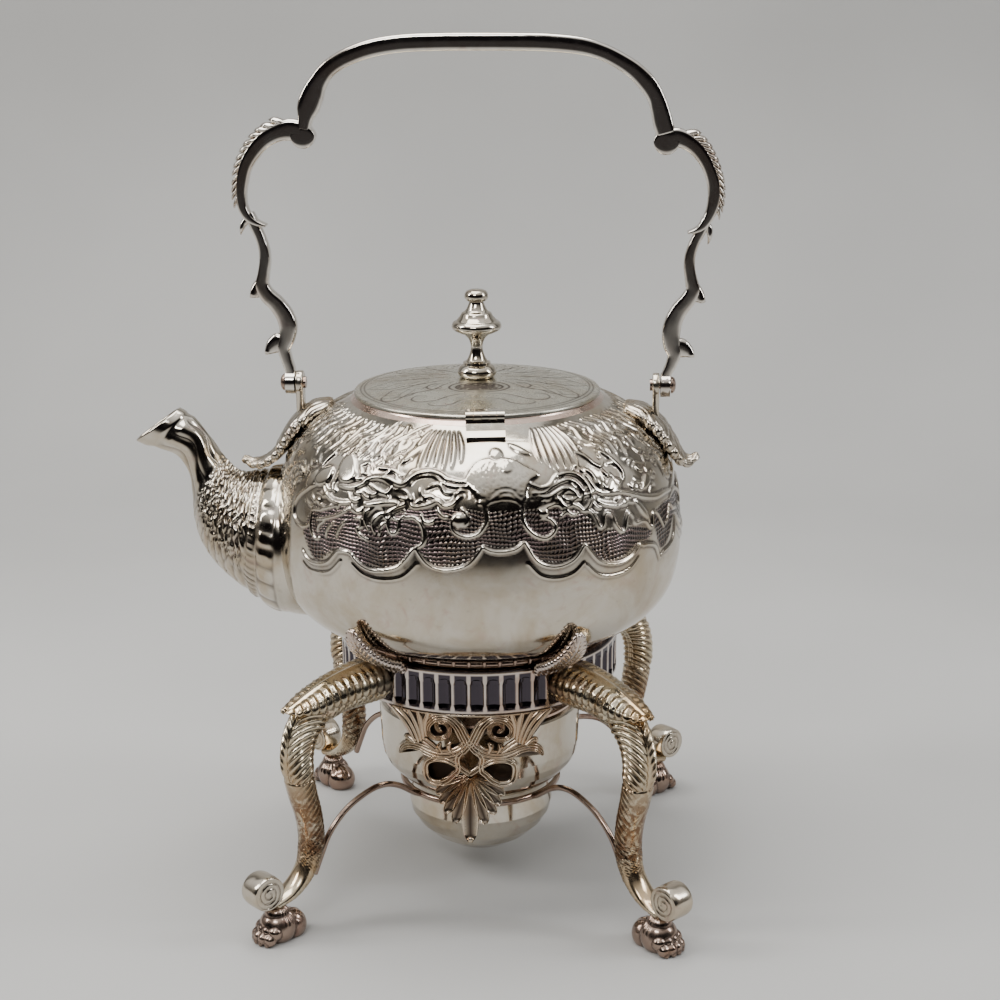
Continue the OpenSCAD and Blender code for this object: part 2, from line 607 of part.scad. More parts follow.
// One arm of the handle, drawn on the +X side: 0 is the left one and 1 the right one.
module handle_scroll(side) {
    c_line = [for (q = c_scrolls[side]) [q[0], q[1], q[2], bar_depth / 2 - 0.1]];
    s_line = [for (q = s_scrolls[side]) [q[0], q[1], q[2], bar_depth / 2 - 0.3]];
    ball = ball_spots[side];
    color(silver) difference() {
        union() {
            difference() {
                union() {
                    loft(c_line, 2, 8);
                    loft(s_line, 2, 8);
                    // Outward cusps of the lower scroll and the leaf tip under the C-scroll.
                    linear_extrude_y(bar_depth - 2)
                        for (cusp = cusps[side])
                            polygon(cusp);
                    // Scallops along the back of the C-scroll.
                    linear_extrude_y(bar_depth - 2.4)
                        for (i = [0:7])
                            let (s = smooth(c_scrolls[side], 2), k = 4 + i * 1.6, q = s[round(k)],
                                t = heading(s, round(k)))
                                translate([q[0] - t[1] * (q[2] - 0.7), q[1] + t[0] * (q[2] - 0.7)])
                                    circle(r = 1.7, $fn = 12);
                }
                translate([60, -10, pivot_z - 10])
                    cube([50, 20, 10.6]);
            }
            translate([ball[0], 0, ball[1]])
                sphere(r = ball[2], $fn = 32);
            translate([pivot_x - tongue_t / 2, 0, pivot_z])
                rotate([0, 90, 0])
                    cylinder(r = 5.4, h = tongue_t, $fn = 48);
        }
        translate([60, 0, pivot_z])
            rotate([0, 90, 0])
                cylinder(d = rivet_d + 0.1, h = 40, $fn = 32);
        arch_end(side);
    }
}

module linear_extrude_y(deep) {
    translate([0, deep / 2, 0])
        rotate([90, 0, 0])
            linear_extrude(deep)
                children();
}

// Burner

bowl_line = [[bowl_r - 0.4, 84], [bowl_r, 83], [bowl_r - 0.8, 64], [bowl_r - 1.5, 59], [bowl_r - 3.2, 55.2],
    [bowl_r - 6, 51.8], [bowl_r - 9.4, 48.6], [tank_r + 1.4, 46.4], [tank_r - 0.8, 46.2]];
tank_line = [[tank_r - 0.8, 46.2], [tank_r - 1.4, 42.6], [tank_r - 0.6, 37.6], [tank_r, 33], [tank_r - 0.9, 28.4],
    [tank_r - 4.2, 23], [tank_r - 10, 17.4], [tank_r - 17.6, 12.6], [tank_r - 25, 10.2], [0, 9.6]];

module burner_bowl() {
    back = [for (i = [len(bowl_line) - 1:-1:0]) bowl_line[i] + [-1.1, 0.9]];
    color(silver) rotate_extrude($fn = 96)
        polygon(concat(bowl_line, back));
}

module burner_tank() {
    back = [for (i = [len(tank_line) - 2:-1:1]) tank_line[i] + [-1.1, 0.5]];
    color(silver) rotate_extrude($fn = 96)
        polygon(concat(tank_line, [[0, 10.9]], back, [[tank_r - 1.9, 46.2]]));
}

module burner_cover() {
    color(copper) rotate_extrude($fn = 96)
        polygon([[wick_d / 2, 85.6], [wick_d / 2 + 4, 85.6], [wick_d / 2 + 6, 84.9], [bowl_r - 4, 84.9],
            [bowl_r - 1.6, 84.9], [bowl_r - 1.6, 86], [wick_d / 2 + 6.5, 88], [wick_d / 2 + 2.4, 88.4],
            [wick_d / 2 + 2, 90], [wick_d / 2, 90]]);
}

module wick_tube() {
    color(dark_silver) rotate_extrude($fn = 48)
        polygon([[wick_d / 2 - 1, 60], [wick_d / 2, 60], [wick_d / 2, 96], [wick_d / 2 + 0.8, 97],
            [wick_d / 2 - 1, 97]]);
}

module wick() {
    color("#cfc6b4") translate([0, 0, 56])
        cylinder(d = wick_d - 2, h = 45, $fn = 48);
}

ring_band();
lamp_ring();
for (c = CORNERS) {
    rotate([0, 0, c[1]]) leg();
    rotate([0, 0, c[1]]) scroll();
    rotate([0, 0, c[1]]) paw();
    rotate([0, 0, c[1]]) wire();
}
for (c = CLIPS)
    rotate([0, 0, c[1]]) clip();
for (s = SIDES)
    rotate([0, 0, s[1]]) apron();
kettle_body();
foot_rim();
neck_ring();
spout();
for (i = [0:1]) {
    rotate([0, 0, HANDS[i][1]]) mount(mount_tips[i]);
    rotate([0, 0, HANDS[i][1]]) rivet();
    rotate([0, 0, HANDS[i][1]]) handle_scroll(i);
}
hinge_plate();
hinge_pin();
lid_cover();
lid_skirt();
lid_strap();
lid_knob();
knob_nut();
handle_arch();
burner_bowl();
burner_tank();
burner_cover();
wick_tube();
wick();
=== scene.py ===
import bpy
import bmesh
import numpy as np
from math import pi, sin, cos, radians, hypot
from mathutils import Matrix, Vector


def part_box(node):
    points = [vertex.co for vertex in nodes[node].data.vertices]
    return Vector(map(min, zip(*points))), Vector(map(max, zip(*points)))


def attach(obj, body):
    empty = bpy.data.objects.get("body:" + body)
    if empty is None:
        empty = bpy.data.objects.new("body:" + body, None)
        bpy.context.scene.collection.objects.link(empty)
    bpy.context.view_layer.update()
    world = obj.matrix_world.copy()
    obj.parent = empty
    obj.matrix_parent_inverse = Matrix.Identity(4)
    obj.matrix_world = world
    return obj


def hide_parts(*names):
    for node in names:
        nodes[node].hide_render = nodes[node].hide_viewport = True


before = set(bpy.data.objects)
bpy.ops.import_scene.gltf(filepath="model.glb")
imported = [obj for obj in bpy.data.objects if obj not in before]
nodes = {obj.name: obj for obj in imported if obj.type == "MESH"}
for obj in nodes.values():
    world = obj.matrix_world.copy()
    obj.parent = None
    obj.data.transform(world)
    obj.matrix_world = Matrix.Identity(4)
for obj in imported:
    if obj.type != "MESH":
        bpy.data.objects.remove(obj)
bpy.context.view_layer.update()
mm = 0.001

# camera, placed where the photograph was taken from
shot = {"place": (65.82, -848.32, 415.84), "turn": 0.06575, "dip": 0.27282, "lean": -0.00593,
        "lens": 69.88, "sensor": 36, "near": 0.01, "far": 20}

camera = bpy.data.objects.new("camera", bpy.data.cameras.new("camera"))
camera.data.lens = shot["lens"]
camera.data.sensor_width = shot["sensor"]
camera.data.clip_start = shot["near"]
camera.data.clip_end = shot["far"]
camera.matrix_world = (Matrix.Translation(Vector(shot["place"]) * mm) @ Matrix.Rotation(shot["turn"], 4, "Z")
                       @ Matrix.Rotation(pi / 2 - shot["dip"], 4, "X") @ Matrix.Rotation(shot["lean"], 4, "Z"))
bpy.context.scene.collection.objects.link(camera)
bpy.context.scene.camera = camera


# the wear of every metal: noises as scale, detail, roughness, distortion and stretch; how deep the bumps are
wear = {"clouds": (34, 4, 0.6, 0.6), "dirt": (260, 5, 0.65), "spots": (95, 4, 0.6, 1.2), "bloom": (15, 7, 0.72, 2.4),
        "pits": (190, 5, 0.7, 1.5), "scratches": (420, 3, 0.7, 0.0, (1, 1, 0.12)), "dents": (45, 2, 0.5),
        "bloomed": 0.42, "spotted": 0.55, "dirty": 0.30, "pitted": 0.9, "hollowRough": 0.22, "scratched": 0.10,
        "dented": 1.2, "bump": (0.35, 0.0004)}


class Finish:
    # the nodes of one metal, floor or sky; the steps take sockets or plain values and give a socket
    def __init__(self, owner, out="OutputMaterial", shader="BsdfPrincipled"):
        owner.use_nodes = True
        self.owner, self.tree = owner, owner.node_tree
        self.tree.nodes.clear()
        last = self.node(out)
        self.shader = self.node(shader)
        self.feed(last.inputs[0], self.shader.outputs[0])

    def node(self, kind):
        return self.tree.nodes.new("ShaderNode" + kind)

    def feed(self, socket, value):
        if isinstance(value, bpy.types.NodeSocket):
            self.tree.links.new(value, socket)
        elif isinstance(value, tuple) and socket.type == "RGBA":
            socket.default_value = (*value, 1)
        else:
            socket.default_value = value

    def filled(self, kind, values, output=0):
        node = self.node(kind)
        for key, value in values.items():
            self.feed(node.inputs[key], value)
        return node.outputs[output]

    def place(self):
        return self.node("TexCoord").outputs["Object"]

    def noise(self, scale, detail=3, roughness=0.55, distortion=0.0, stretch=None):
        place = self.place()
        if stretch:
            place = self.filled("Mapping", {"Vector": place, "Scale": stretch})
        return self.filled("TexNoise", {"Scale": scale, "Detail": detail, "Roughness": roughness,
                                        "Distortion": distortion, "Vector": place}, "Fac")

    def ramp(self, factor, *stops):
        ramp = self.node("ValToRGB")
        elements = ramp.color_ramp.elements
        while len(elements) < len(stops):
            elements.new(0.5)
        for element, (at, colour) in zip(elements, stops):
            element.position = at
            element.color = (*colour, 1)
        self.feed(ramp.inputs[0], factor)
        return ramp.outputs[0]

    def mix(self, factor, one, two):
        node = self.node("Mix")
        node.data_type = "RGBA"
        for key, value in ((0, factor), (6, one), (7, two)):
            self.feed(node.inputs[key], value)
        return node.outputs[2]

    def fit(self, value, fromLow, fromHigh, toLow=0.0, toHigh=1.0):
        return self.filled("MapRange", {0: value, 1: fromLow, 2: fromHigh, 3: toLow, 4: toHigh})

    def math(self, operation, one, two=0.0):
        node = self.node("Math")
        node.operation = operation
        self.feed(node.inputs[0], one)
        self.feed(node.inputs[1], two)
        return node.outputs[0]

    def times(self, one, two):
        return self.math("MULTIPLY", one, two)

    def mark(self, name):
        node = self.node("Attribute")
        node.attribute_name = name
        return node.outputs["Fac"]

    def axes(self, vector=None):
        node = self.node("SeparateXYZ")
        self.feed(node.inputs[0], vector or self.place())
        return node.outputs

    def bump(self, height, strength, distance, under=None):
        values = {"Strength": strength, "Distance": distance, "Height": height}
        if under:
            values["Normal"] = under
        return self.filled("Bump", values)

    def surface(self, colour, rough, metal=0.0, normal=None):
        for key, value in (("Base Color", colour), ("Roughness", rough), ("Metallic", metal), ("Normal", normal)):
            if value is not None:
                self.feed(self.shader.inputs[key], value)


# metals: clean, warm and pink tints; a dark colour used for fine dirt and for the tarnish and painted shade in
# hollows; the roughness range; where the tarnish starts; and on the legs a brown stain low down
silverLook = {
    "plate": {"clean": (0.61, 0.565, 0.485), "warm": (0.48, 0.40, 0.29), "pink": (0.48, 0.33, 0.28),
              "dark": (0.08, 0.06, 0.055), "polish": (0.05, 0.17), "tarnish": 0.54},
    "lid": {"clean": (0.60, 0.58, 0.50), "warm": (0.50, 0.45, 0.35), "pink": (0.50, 0.38, 0.31),
            "dark": (0.05, 0.035, 0.03), "polish": (0.20, 0.34), "tarnish": 0.54},
    "cast": {"clean": (0.60, 0.54, 0.45), "warm": (0.50, 0.39, 0.25), "pink": (0.44, 0.29, 0.23),
             "dark": (0.07, 0.045, 0.04), "polish": (0.10, 0.26), "tarnish": 0.46},
    "bar": {"clean": (0.70, 0.66, 0.60), "warm": (0.58, 0.51, 0.44), "pink": (0.48, 0.38, 0.35),
            "dark": (0.12, 0.10, 0.09), "polish": (0.05, 0.15), "tarnish": 0.50},
    "leaf": {"clean": (0.60, 0.53, 0.48), "warm": (0.48, 0.36, 0.29), "pink": (0.42, 0.28, 0.25),
             "dark": (0.05, 0.03, 0.028), "polish": (0.09, 0.26), "tarnish": 0.46},
    "leg": {"clean": (0.62, 0.545, 0.41), "warm": (0.48, 0.33, 0.18), "pink": (0.40, 0.22, 0.15),
            "dark": (0.035, 0.02, 0.016), "polish": (0.10, 0.28), "tarnish": 0.54,
            "stain": (0.034, 0.074, (0.17, 0.08, 0.035))},
    "apron": {"clean": (0.60, 0.52, 0.41), "warm": (0.48, 0.33, 0.21), "pink": (0.44, 0.22, 0.19),
              "dark": (0.03, 0.018, 0.015), "polish": (0.10, 0.28), "tarnish": 0.56},
    "darkened": {"clean": (0.35, 0.26, 0.21), "warm": (0.32, 0.20, 0.14), "pink": (0.28, 0.15, 0.12),
                 "dark": (0.04, 0.025, 0.022), "polish": (0.10, 0.28), "tarnish": 0.42},
    "copper": {"clean": (0.64, 0.50, 0.42), "warm": (0.54, 0.35, 0.26), "pink": (0.44, 0.24, 0.18),
               "dark": (0.10, 0.05, 0.04), "polish": (0.14, 0.30), "tarnish": 0.44},
}

def tarnished(name, look, hollows=False, deeper=None):
    # worn silver plate: warm and pink clouds, fine dirt, scratches, and dark hollows where the relief is deep, which
    # stand for tarnish there together with painted shade
    finish = Finish(bpy.data.materials.new(name))
    wide, fine, spots, bloom = (finish.noise(*wear[key]) for key in ("clouds", "dirt", "spots", "bloom"))
    colour = finish.ramp(wide, (0.34, look["warm"]), (look["tarnish"], look["clean"]), (0.72, look["clean"]))
    colour = finish.mix(finish.fit(bloom, 0.46, 0.62, 0.0, wear["bloomed"]), colour, look["warm"])
    colour = finish.mix(finish.fit(spots, 0.58, 0.74, 0.0, wear["spotted"]), colour, look["pink"])
    colour = finish.mix(finish.fit(fine, 0.62, 0.80, 0.0, wear["dirty"]), colour, look["dark"])
    if "stain" in look:
        low, high, deep = look["stain"]
        height = finish.axes()["Z"]
        band = finish.times(finish.fit(height, low - 0.006, low + 0.004),
                            finish.fit(height, high - 0.016, high + 0.006, 1.0, 0.0))
        pits = finish.fit(finish.noise(*wear["pits"]), 0.40, 0.53, 0.0, wear["pitted"])
        colour = finish.mix(finish.times(band, pits), colour, deep)
    rough = finish.fit(fine, 0.3, 0.7, *look["polish"])
    if hollows:
        # painted shade together with tarnish: the cavity mark darkens the colour in the hollows
        cavity = finish.mark("cavity")
        colour = finish.mix(cavity, colour, look["dark"])
        rough = finish.math("ADD", rough, finish.times(cavity, wear["hollowRough"]))
    height = finish.math("ADD", finish.times(finish.noise(*wear["scratches"]), wear["scratched"]),
                         finish.times(finish.noise(*wear["dents"]), wear["dented"]))
    normal = finish.bump(height, *wear["bump"])
    if deeper:
        colour, normal = deeper(finish, colour, normal)
    finish.surface(colour=colour, rough=rough, metal=1.0, normal=normal)
    return finish.owner


platedSilver = tarnished("plated silver", silverLook["plate"])
chasedSilver = tarnished("chased silver", silverLook["plate"], True)
engravedSilver = tarnished("engraved silver", silverLook["lid"], True)
castSilver = tarnished("cast silver", silverLook["cast"])
carvedSilver = tarnished("carved silver", silverLook["cast"], True)
darkenedSilver = tarnished("darkened silver", silverLook["darkened"])
darkCarved = tarnished("dark carved silver", silverLook["darkened"], True)
barSilver = tarnished("bar silver", silverLook["bar"])
darkLeaf = tarnished("dark leaf silver", silverLook["leaf"], True)
apronSilver = tarnished("apron silver", silverLook["apron"], True)
legSilver = tarnished("leg silver", silverLook["leg"], True)
wornCopper = tarnished("worn copper", silverLook["copper"])

# the ring's flutes: radii at their mouths and backs, the colour of the dark reflection painted in them, how many, the
# ridges between them, and their height
ringLow, ringHigh = (corner[2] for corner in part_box("ring_band"))
fluting = {"edge": (0.0630, 0.0635), "back": (0.0605, 0.0612), "dark": (0.06, 0.052, 0.062), "count": 56,
           "ridge": (0.09, 0.16), "span": (ringLow + 0.0012, ringHigh - 0.0012), "soft": 0.0006}


def fluteReflectionPainted(finish, colour, normal):
    # painted dark reflection inside each flute; the ridges between them keep the bright metal colour
    x, y, z = (finish.axes()[key] for key in "XYZ")
    reach = finish.math("SQRT", finish.math("ADD", finish.times(x, x), finish.times(y, y)))
    turn = finish.times(finish.math("ARCTAN2", y, x), fluting["count"] / (2 * pi))
    beside = finish.fit(finish.math("PINGPONG", turn, 0.5), *fluting["ridge"])
    low, high = fluting["span"]
    for edge, further in ((low, low + fluting["soft"]), (high, high - fluting["soft"])):
        beside = finish.times(beside, finish.fit(z, edge, further))
    inside = finish.math("MAXIMUM", finish.fit(reach, *fluting["edge"], 1.0, 0.0), beside)
    return finish.mix(finish.times(inside, finish.fit(reach, *fluting["back"])), colour, fluting["dark"]), normal


def cottonWick():
    finish = Finish(bpy.data.materials.new("cotton wick"))
    strands = finish.noise(900, 4, 0.6, 0.0, (1, 1, 0.15))
    finish.surface(colour=finish.ramp(strands, (0.3, (0.62, 0.56, 0.46)), (0.7, (0.86, 0.82, 0.74))), rough=0.9,
                   normal=finish.bump(strands, 0.6, 0.0006))
    return finish.owner


# every CAD node that is shown gets a metal: names that start so, the slot and, where it is special, the metal
slotMetals = {"silver_plate": platedSilver, "cast_silver": castSilver, "darkened_silver": darkenedSilver,
              "copper_worn": wornCopper, "wick_cotton": cottonWick()}
slotStarts = {"darkened_silver": ("paw", "wire_", "lamp_ring", "foot_rim", "rivet", "hinge_pin", "knob_nut",
                                  "wick_tube"),
              "copper_worn": ("neck_ring", "burner_cover", "lid_skirt"), "cast_silver": ("leg_", "apron", "clip")}
ownMetals = {"ring_band": tarnished("fluted silver", silverLook["leaf"], deeper=fluteReflectionPainted)}
for name, node in nodes.items():
    slotName = "wick_cotton" if name == "wick" else "silver_plate"
    for slot, starts in slotStarts.items():
        if name.startswith(starts):
            slotName = slot
    node.data.materials.clear()
    node.data.materials.append(ownMetals.get(name, slotMetals[slotName]))
print("metals given to", len(nodes), "nodes")


# floor, backdrop and light
studio = {"floor": 2.4, "wallAt": 0.62, "bend": 0.35, "wall": 1.6, "shadeFrom": -0.42, "shadeTo": -1.5,
          "shade": (0.03, 0.028, 0.028), "pale": ((0.3, (0.40, 0.396, 0.385)), (0.7, (0.45, 0.446, 0.434)))}

def meshFrom(bm, name):
    mesh = bpy.data.meshes.new(name)
    bm.to_mesh(mesh)
    bm.free()
    return mesh


def pushed(bm, made, step):
    # moves the corners that an extrusion has just made
    moved = [v for v in made["geom"] if isinstance(v, bmesh.types.BMVert)]
    bmesh.ops.translate(bm, verts=moved, vec=step)
    bmesh.ops.recalc_face_normals(bm, faces=bm.faces)


def studioSweep():
    # a floor that bends up into a wall
    bm = bmesh.new()
    left, back, bend = -studio["floor"], studio["wallAt"], studio["bend"]
    line = [Vector((left, left, 0))]
    for step in range(13):
        angle = pi / 2 * step / 12
        line.append(Vector((left, back + bend * sin(angle), bend * (1 - cos(angle)))))
    line.append(Vector((left, back + bend, studio["wall"])))
    verts = [bm.verts.new(p) for p in line]
    edges = [bm.edges.new(pair) for pair in zip(verts, verts[1:])]
    pushed(bm, bmesh.ops.extrude_edge_only(bm, edges=edges), (studio["floor"] * 2, 0, 0))
    mesh = meshFrom(bm, "floor")
    mesh.polygons.foreach_set("use_smooth", np.ones(len(mesh.polygons), bool))
    floor = bpy.data.objects.new("floor", mesh)
    bpy.context.scene.collection.objects.link(floor)
    finish = Finish(bpy.data.materials.new("pale floor"))
    pale = finish.ramp(finish.noise(3.0, 3, 0.5), *studio["pale"])
    # painted shade: the floor's colour darkens towards the camera side
    nearness = finish.fit(finish.axes()["Y"], studio["shadeFrom"], studio["shadeTo"])
    finish.surface(finish.mix(nearness, pale, studio["shade"]), 0.75)
    mesh.materials.append(finish.owner)


studioSweep()

lamps = [
    {"name": "overhead", "at": (-0.15, 0.05, 1.3), "to": (0, 0, 0.15), "size": (1.0, 0.8), "power": 16,
     "tint": (1, 0.99, 0.97)},
    {"name": "left", "at": (-1.15, -0.25, 0.95), "to": (0, 0, 0.2), "size": (0.25, 0.7), "power": 9,
     "tint": (1, 0.98, 0.95)},
    {"name": "right", "at": (1.2, -0.1, 0.85), "to": (0, 0, 0.2), "size": (0.22, 0.7), "power": 7,
     "tint": (0.96, 0.98, 1)},
    {"name": "front", "at": (-0.30, -1.15, 1.15), "to": (0, 0, 0.2), "size": (0.5, 0.22), "power": 5,
     "tint": (1, 1, 1)},
]
for lamp in lamps:
    light = bpy.data.lights.new(lamp["name"], "AREA")
    light.shape = "RECTANGLE"
    light.size, light.size_y = lamp["size"]
    light.energy = lamp["power"]
    light.color = lamp["tint"]
    holder = bpy.data.objects.new(lamp["name"], light)
    aim = Vector(lamp["to"]) - Vector(lamp["at"])
    holder.matrix_world = Matrix.Translation(lamp["at"]) @ aim.to_track_quat("-Z", "Y").to_matrix().to_4x4()
    bpy.context.scene.collection.objects.link(holder)


# what the metal mirrors: brightness by height, behind the kettle and on the camera's side
sky = {"behind": ((0.47, (0.20, 0.19, 0.18)), (0.54, (0.26, 0.25, 0.24)), (0.70, (0.75, 0.74, 0.73)),
                  (0.95, (1.1, 1.1, 1.1))),
       "front": ((0.48, (0.05, 0.045, 0.045)), (0.505, (0.006, 0.005, 0.006)), (0.73, (0.010, 0.009, 0.010)),
                 (0.82, (0.50, 0.49, 0.48)), (0.95, (1.2, 1.2, 1.2)))}


def roomLight():
    world = bpy.data.worlds.new("room")
    bpy.context.scene.world = world
    room = Finish(world, "OutputWorld", "Background")
    split = room.axes(room.node("TexCoord").outputs["Generated"])
    rise = room.fit(split["Z"], -1, 1)
    behind, front = room.ramp(rise, *sky["behind"]), room.ramp(rise, *sky["front"])
    room.feed(room.shader.inputs["Color"], room.mix(room.fit(split["Y"], -0.35, 0.25), front, behind))
    room.feed(room.shader.inputs["Strength"], 1.0)


roomLight()
print("studio ready")

# helpers that shape meshes; lengths are millimetres until a mesh is filled
def smoothLine(points, gap, shown=2):
    # a curve through the points; steps are measured over the first numbers of each point
    p = np.asarray(points, float)
    last = len(p) - 1
    line = []
    for i in range(last):
        before, here, there, after = p[max(i - 1, 0)], p[i], p[i + 1], p[min(i + 2, last)]
        steps = max(2, int(np.ceil(hypot(*(there - here)[:shown]) / gap)))
        for k in range(steps):
            t = k / steps
            line.append(0.5 * (2 * here + (there - before) * t + (2 * before - 5 * here + 4 * there - after) * t * t
                               + (3 * here - before - 3 * there + after) * t ** 3))
    line.append(p[last])
    return np.array(line)


nearEnough = 0.00001


def pairsOf(numbers):
    return list(zip(numbers[::2], numbers[1::2]))


def lengthsOf(line):
    return np.concatenate([[0], np.cumsum(np.linalg.norm(np.diff(line[:, :2], axis=0), axis=1))])


def waysOf(line):
    way = np.gradient(line[:, :2], axis=0)
    return way / np.linalg.norm(way, axis=1)[:, None]


def gridMesh(name, columns, rows, placeAt, joined=False):
    # a flat grid whose points are then moved into place; placeAt takes two arrays from 0 to 1
    bm = bmesh.new()
    bmesh.ops.create_grid(bm, x_segments=columns, y_segments=rows, size=0.5)
    mesh = meshFrom(bm, name)
    flat = np.empty(len(mesh.vertices) * 3, np.float32)
    mesh.vertices.foreach_get("co", flat)
    flat = flat.reshape(-1, 3).astype(float)
    across = np.round((flat[:, 0] + 0.5) * columns) / columns
    along = np.round((flat[:, 1] + 0.5) * rows) / rows
    placed, marks = placeAt(across, along)
    mesh.vertices.foreach_set("co", (placed * mm).astype(np.float32).ravel())
    for markName, values in marks.items():
        mesh.attributes.new(markName, "FLOAT", "POINT").data.foreach_set("value", values.astype(np.float32))
    if joined:
        bm = bmesh.new()
        bm.from_mesh(mesh)
        bmesh.ops.remove_doubles(bm, verts=bm.verts, dist=nearEnough)
        bm.to_mesh(mesh)
        bm.free()
    return mesh


def finished(mesh, crease, fill=False):
    bm = bmesh.new()
    bm.from_mesh(mesh)
    if fill:
        bmesh.ops.holes_fill(bm, edges=[e for e in bm.edges if e.is_boundary], sides=0)
    bmesh.ops.recalc_face_normals(bm, faces=bm.faces)
    bm.to_mesh(mesh)
    bm.free()
    mesh.polygons.foreach_set("use_smooth", np.ones(len(mesh.polygons), bool))
    mesh.set_sharp_from_angle(angle=radians(crease))
    mesh.update()
    return mesh


def addPiece(name, mesh, metal, body, standsFor=()):
    mesh.materials.append(metal)
    piece = bpy.data.objects.new(name, mesh)
    bpy.context.scene.collection.objects.link(piece)
    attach(piece, body)
    if standsFor:
        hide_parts(*standsFor)
    return piece


class ReliefSheet:
    # a height field in millimetres over a flattened surface, drawn with ridges, leaves, bosses and grooves
    def __init__(self, left, right, low, high, cell=0.25):
        self.left, self.low, self.cell = left, low, cell
        shape = (int((high - low) / cell) + 1, int((right - left) / cell) + 1)
        self.height, self.cut, self.hatch = np.zeros(shape), np.zeros(shape), np.zeros(shape)
        self.u = left + cell * np.arange(shape[1])
        self.v = low + cell * np.arange(shape[0])

    def window(self, points, reach):
        lowest, highest = points.min(0) - reach, points.max(0) + reach
        return [slice(max(int((lowest[k] - start) / self.cell), 0), max(int((highest[k] - start) / self.cell) + 2, 0))
                for k, start in ((1, self.low), (0, self.left))]

    def stamp(self, layer, u, v, reach, height, sharp):
        rows, columns = self.window(np.array([[u, v]]), reach)
        part = layer[rows, columns]
        if part.size == 0:
            return
        far = ((self.u[columns][None, :] - u) ** 2 + (self.v[rows][:, None] - v) ** 2) / reach ** 2
        rise = np.clip(1 - np.sqrt(far), 0, 1) if sharp else np.sqrt(np.clip(1 - far, 0, 1))
        np.maximum(part, height * rise, out=part)

    def ridge(self, points, width, height, taper=0.5, sharp=False, layer=None):
        line = smoothLine(points, 0.4)
        spots = np.linspace(0, 1, len(line))
        for spot, (u, v) in zip(spots, line):
            swell = 1 - taper * (1 - sin(pi * spot) ** 0.7)
            self.stamp(self.height if layer is None else layer, u, v, width * swell, height * swell, sharp)

    def groove(self, points, width, depth, taper=0.5):
        self.ridge(points, width, depth, taper, True, self.cut)

    def boss(self, u, v, reach, height):
        self.stamp(self.height, u, v, reach, height, False)

    def inside(self, outline):
        loop = smoothLine(list(outline) + [outline[0]], 0.6)
        rows, columns = self.window(loop, 0)
        u, v = np.meshgrid(self.u[columns], self.v[rows])
        within = np.zeros(u.shape, bool)
        for (u0, v0), (u1, v1) in zip(loop, loop[1:]):
            if v0 != v1:
                within ^= ((v0 > v) != (v1 > v)) & (u < (u1 - u0) * (v - v0) / (v1 - v0) + u0)
        far = np.full(u.shape, 1e9)
        for u0, v0 in loop:
            np.minimum(far, (u - u0) ** 2 + (v - v0) ** 2, out=far)
        return rows, columns, within, np.sqrt(far)

    def leaf(self, outline, height, edge):
        rows, columns, within, far = self.inside(outline)
        rise = np.where(within, np.sqrt(np.clip(1 - (1 - np.clip(far / edge, 0, 1)) ** 2, 0, 1)), 0) * height
        np.maximum(self.height[rows, columns], rise, out=self.height[rows, columns])

    def ground(self, outline, amount=1.0):
        rows, columns, within, far = self.inside(outline)
        part = self.hatch[rows, columns]
        np.maximum(part, np.where(within, np.clip(far / 1.2, 0, 1), 0) * amount, out=part)

    def read(self, layer, u, v):
        x = np.clip((u - self.left) / self.cell, 0, layer.shape[1] - 1.001)
        y = np.clip((v - self.low) / self.cell, 0, layer.shape[0] - 1.001)
        i, j = x.astype(int), y.astype(int)
        a, b = x - i, y - j
        return (layer[j, i] * (1 - a) * (1 - b) + layer[j, i + 1] * a * (1 - b)
                + layer[j + 1, i] * (1 - a) * b + layer[j + 1, i + 1] * a * b)

    def finished(self):
        total = softened(self.height - self.cut, 1)
        worked = np.clip(softened(np.abs(self.height) + self.cut, 6) * 8, 0, 1)
        # hollow: where the surface lies below its blurred height, round and between raised work; it darkens the metal
        # as tarnish with painted shade
        hollow = np.clip((softened(total, 5) - total) / 0.28, 0, 1) * worked
        return total, np.clip(hollow, 0, 0.85)


def softened(field, reach):
    for axis in (0, 1):
        padded = np.pad(field, [(reach + 1, reach) if k == axis else (0, 0) for k in (0, 1)], mode="edge")
        sums = np.cumsum(padded, axis=axis)
        size = field.shape[axis]
        upper = np.take(sums, np.arange(size) + 2 * reach + 1, axis=axis)
        field = (upper - np.take(sums, np.arange(size), axis=axis)) / (2 * reach + 1)
    return field


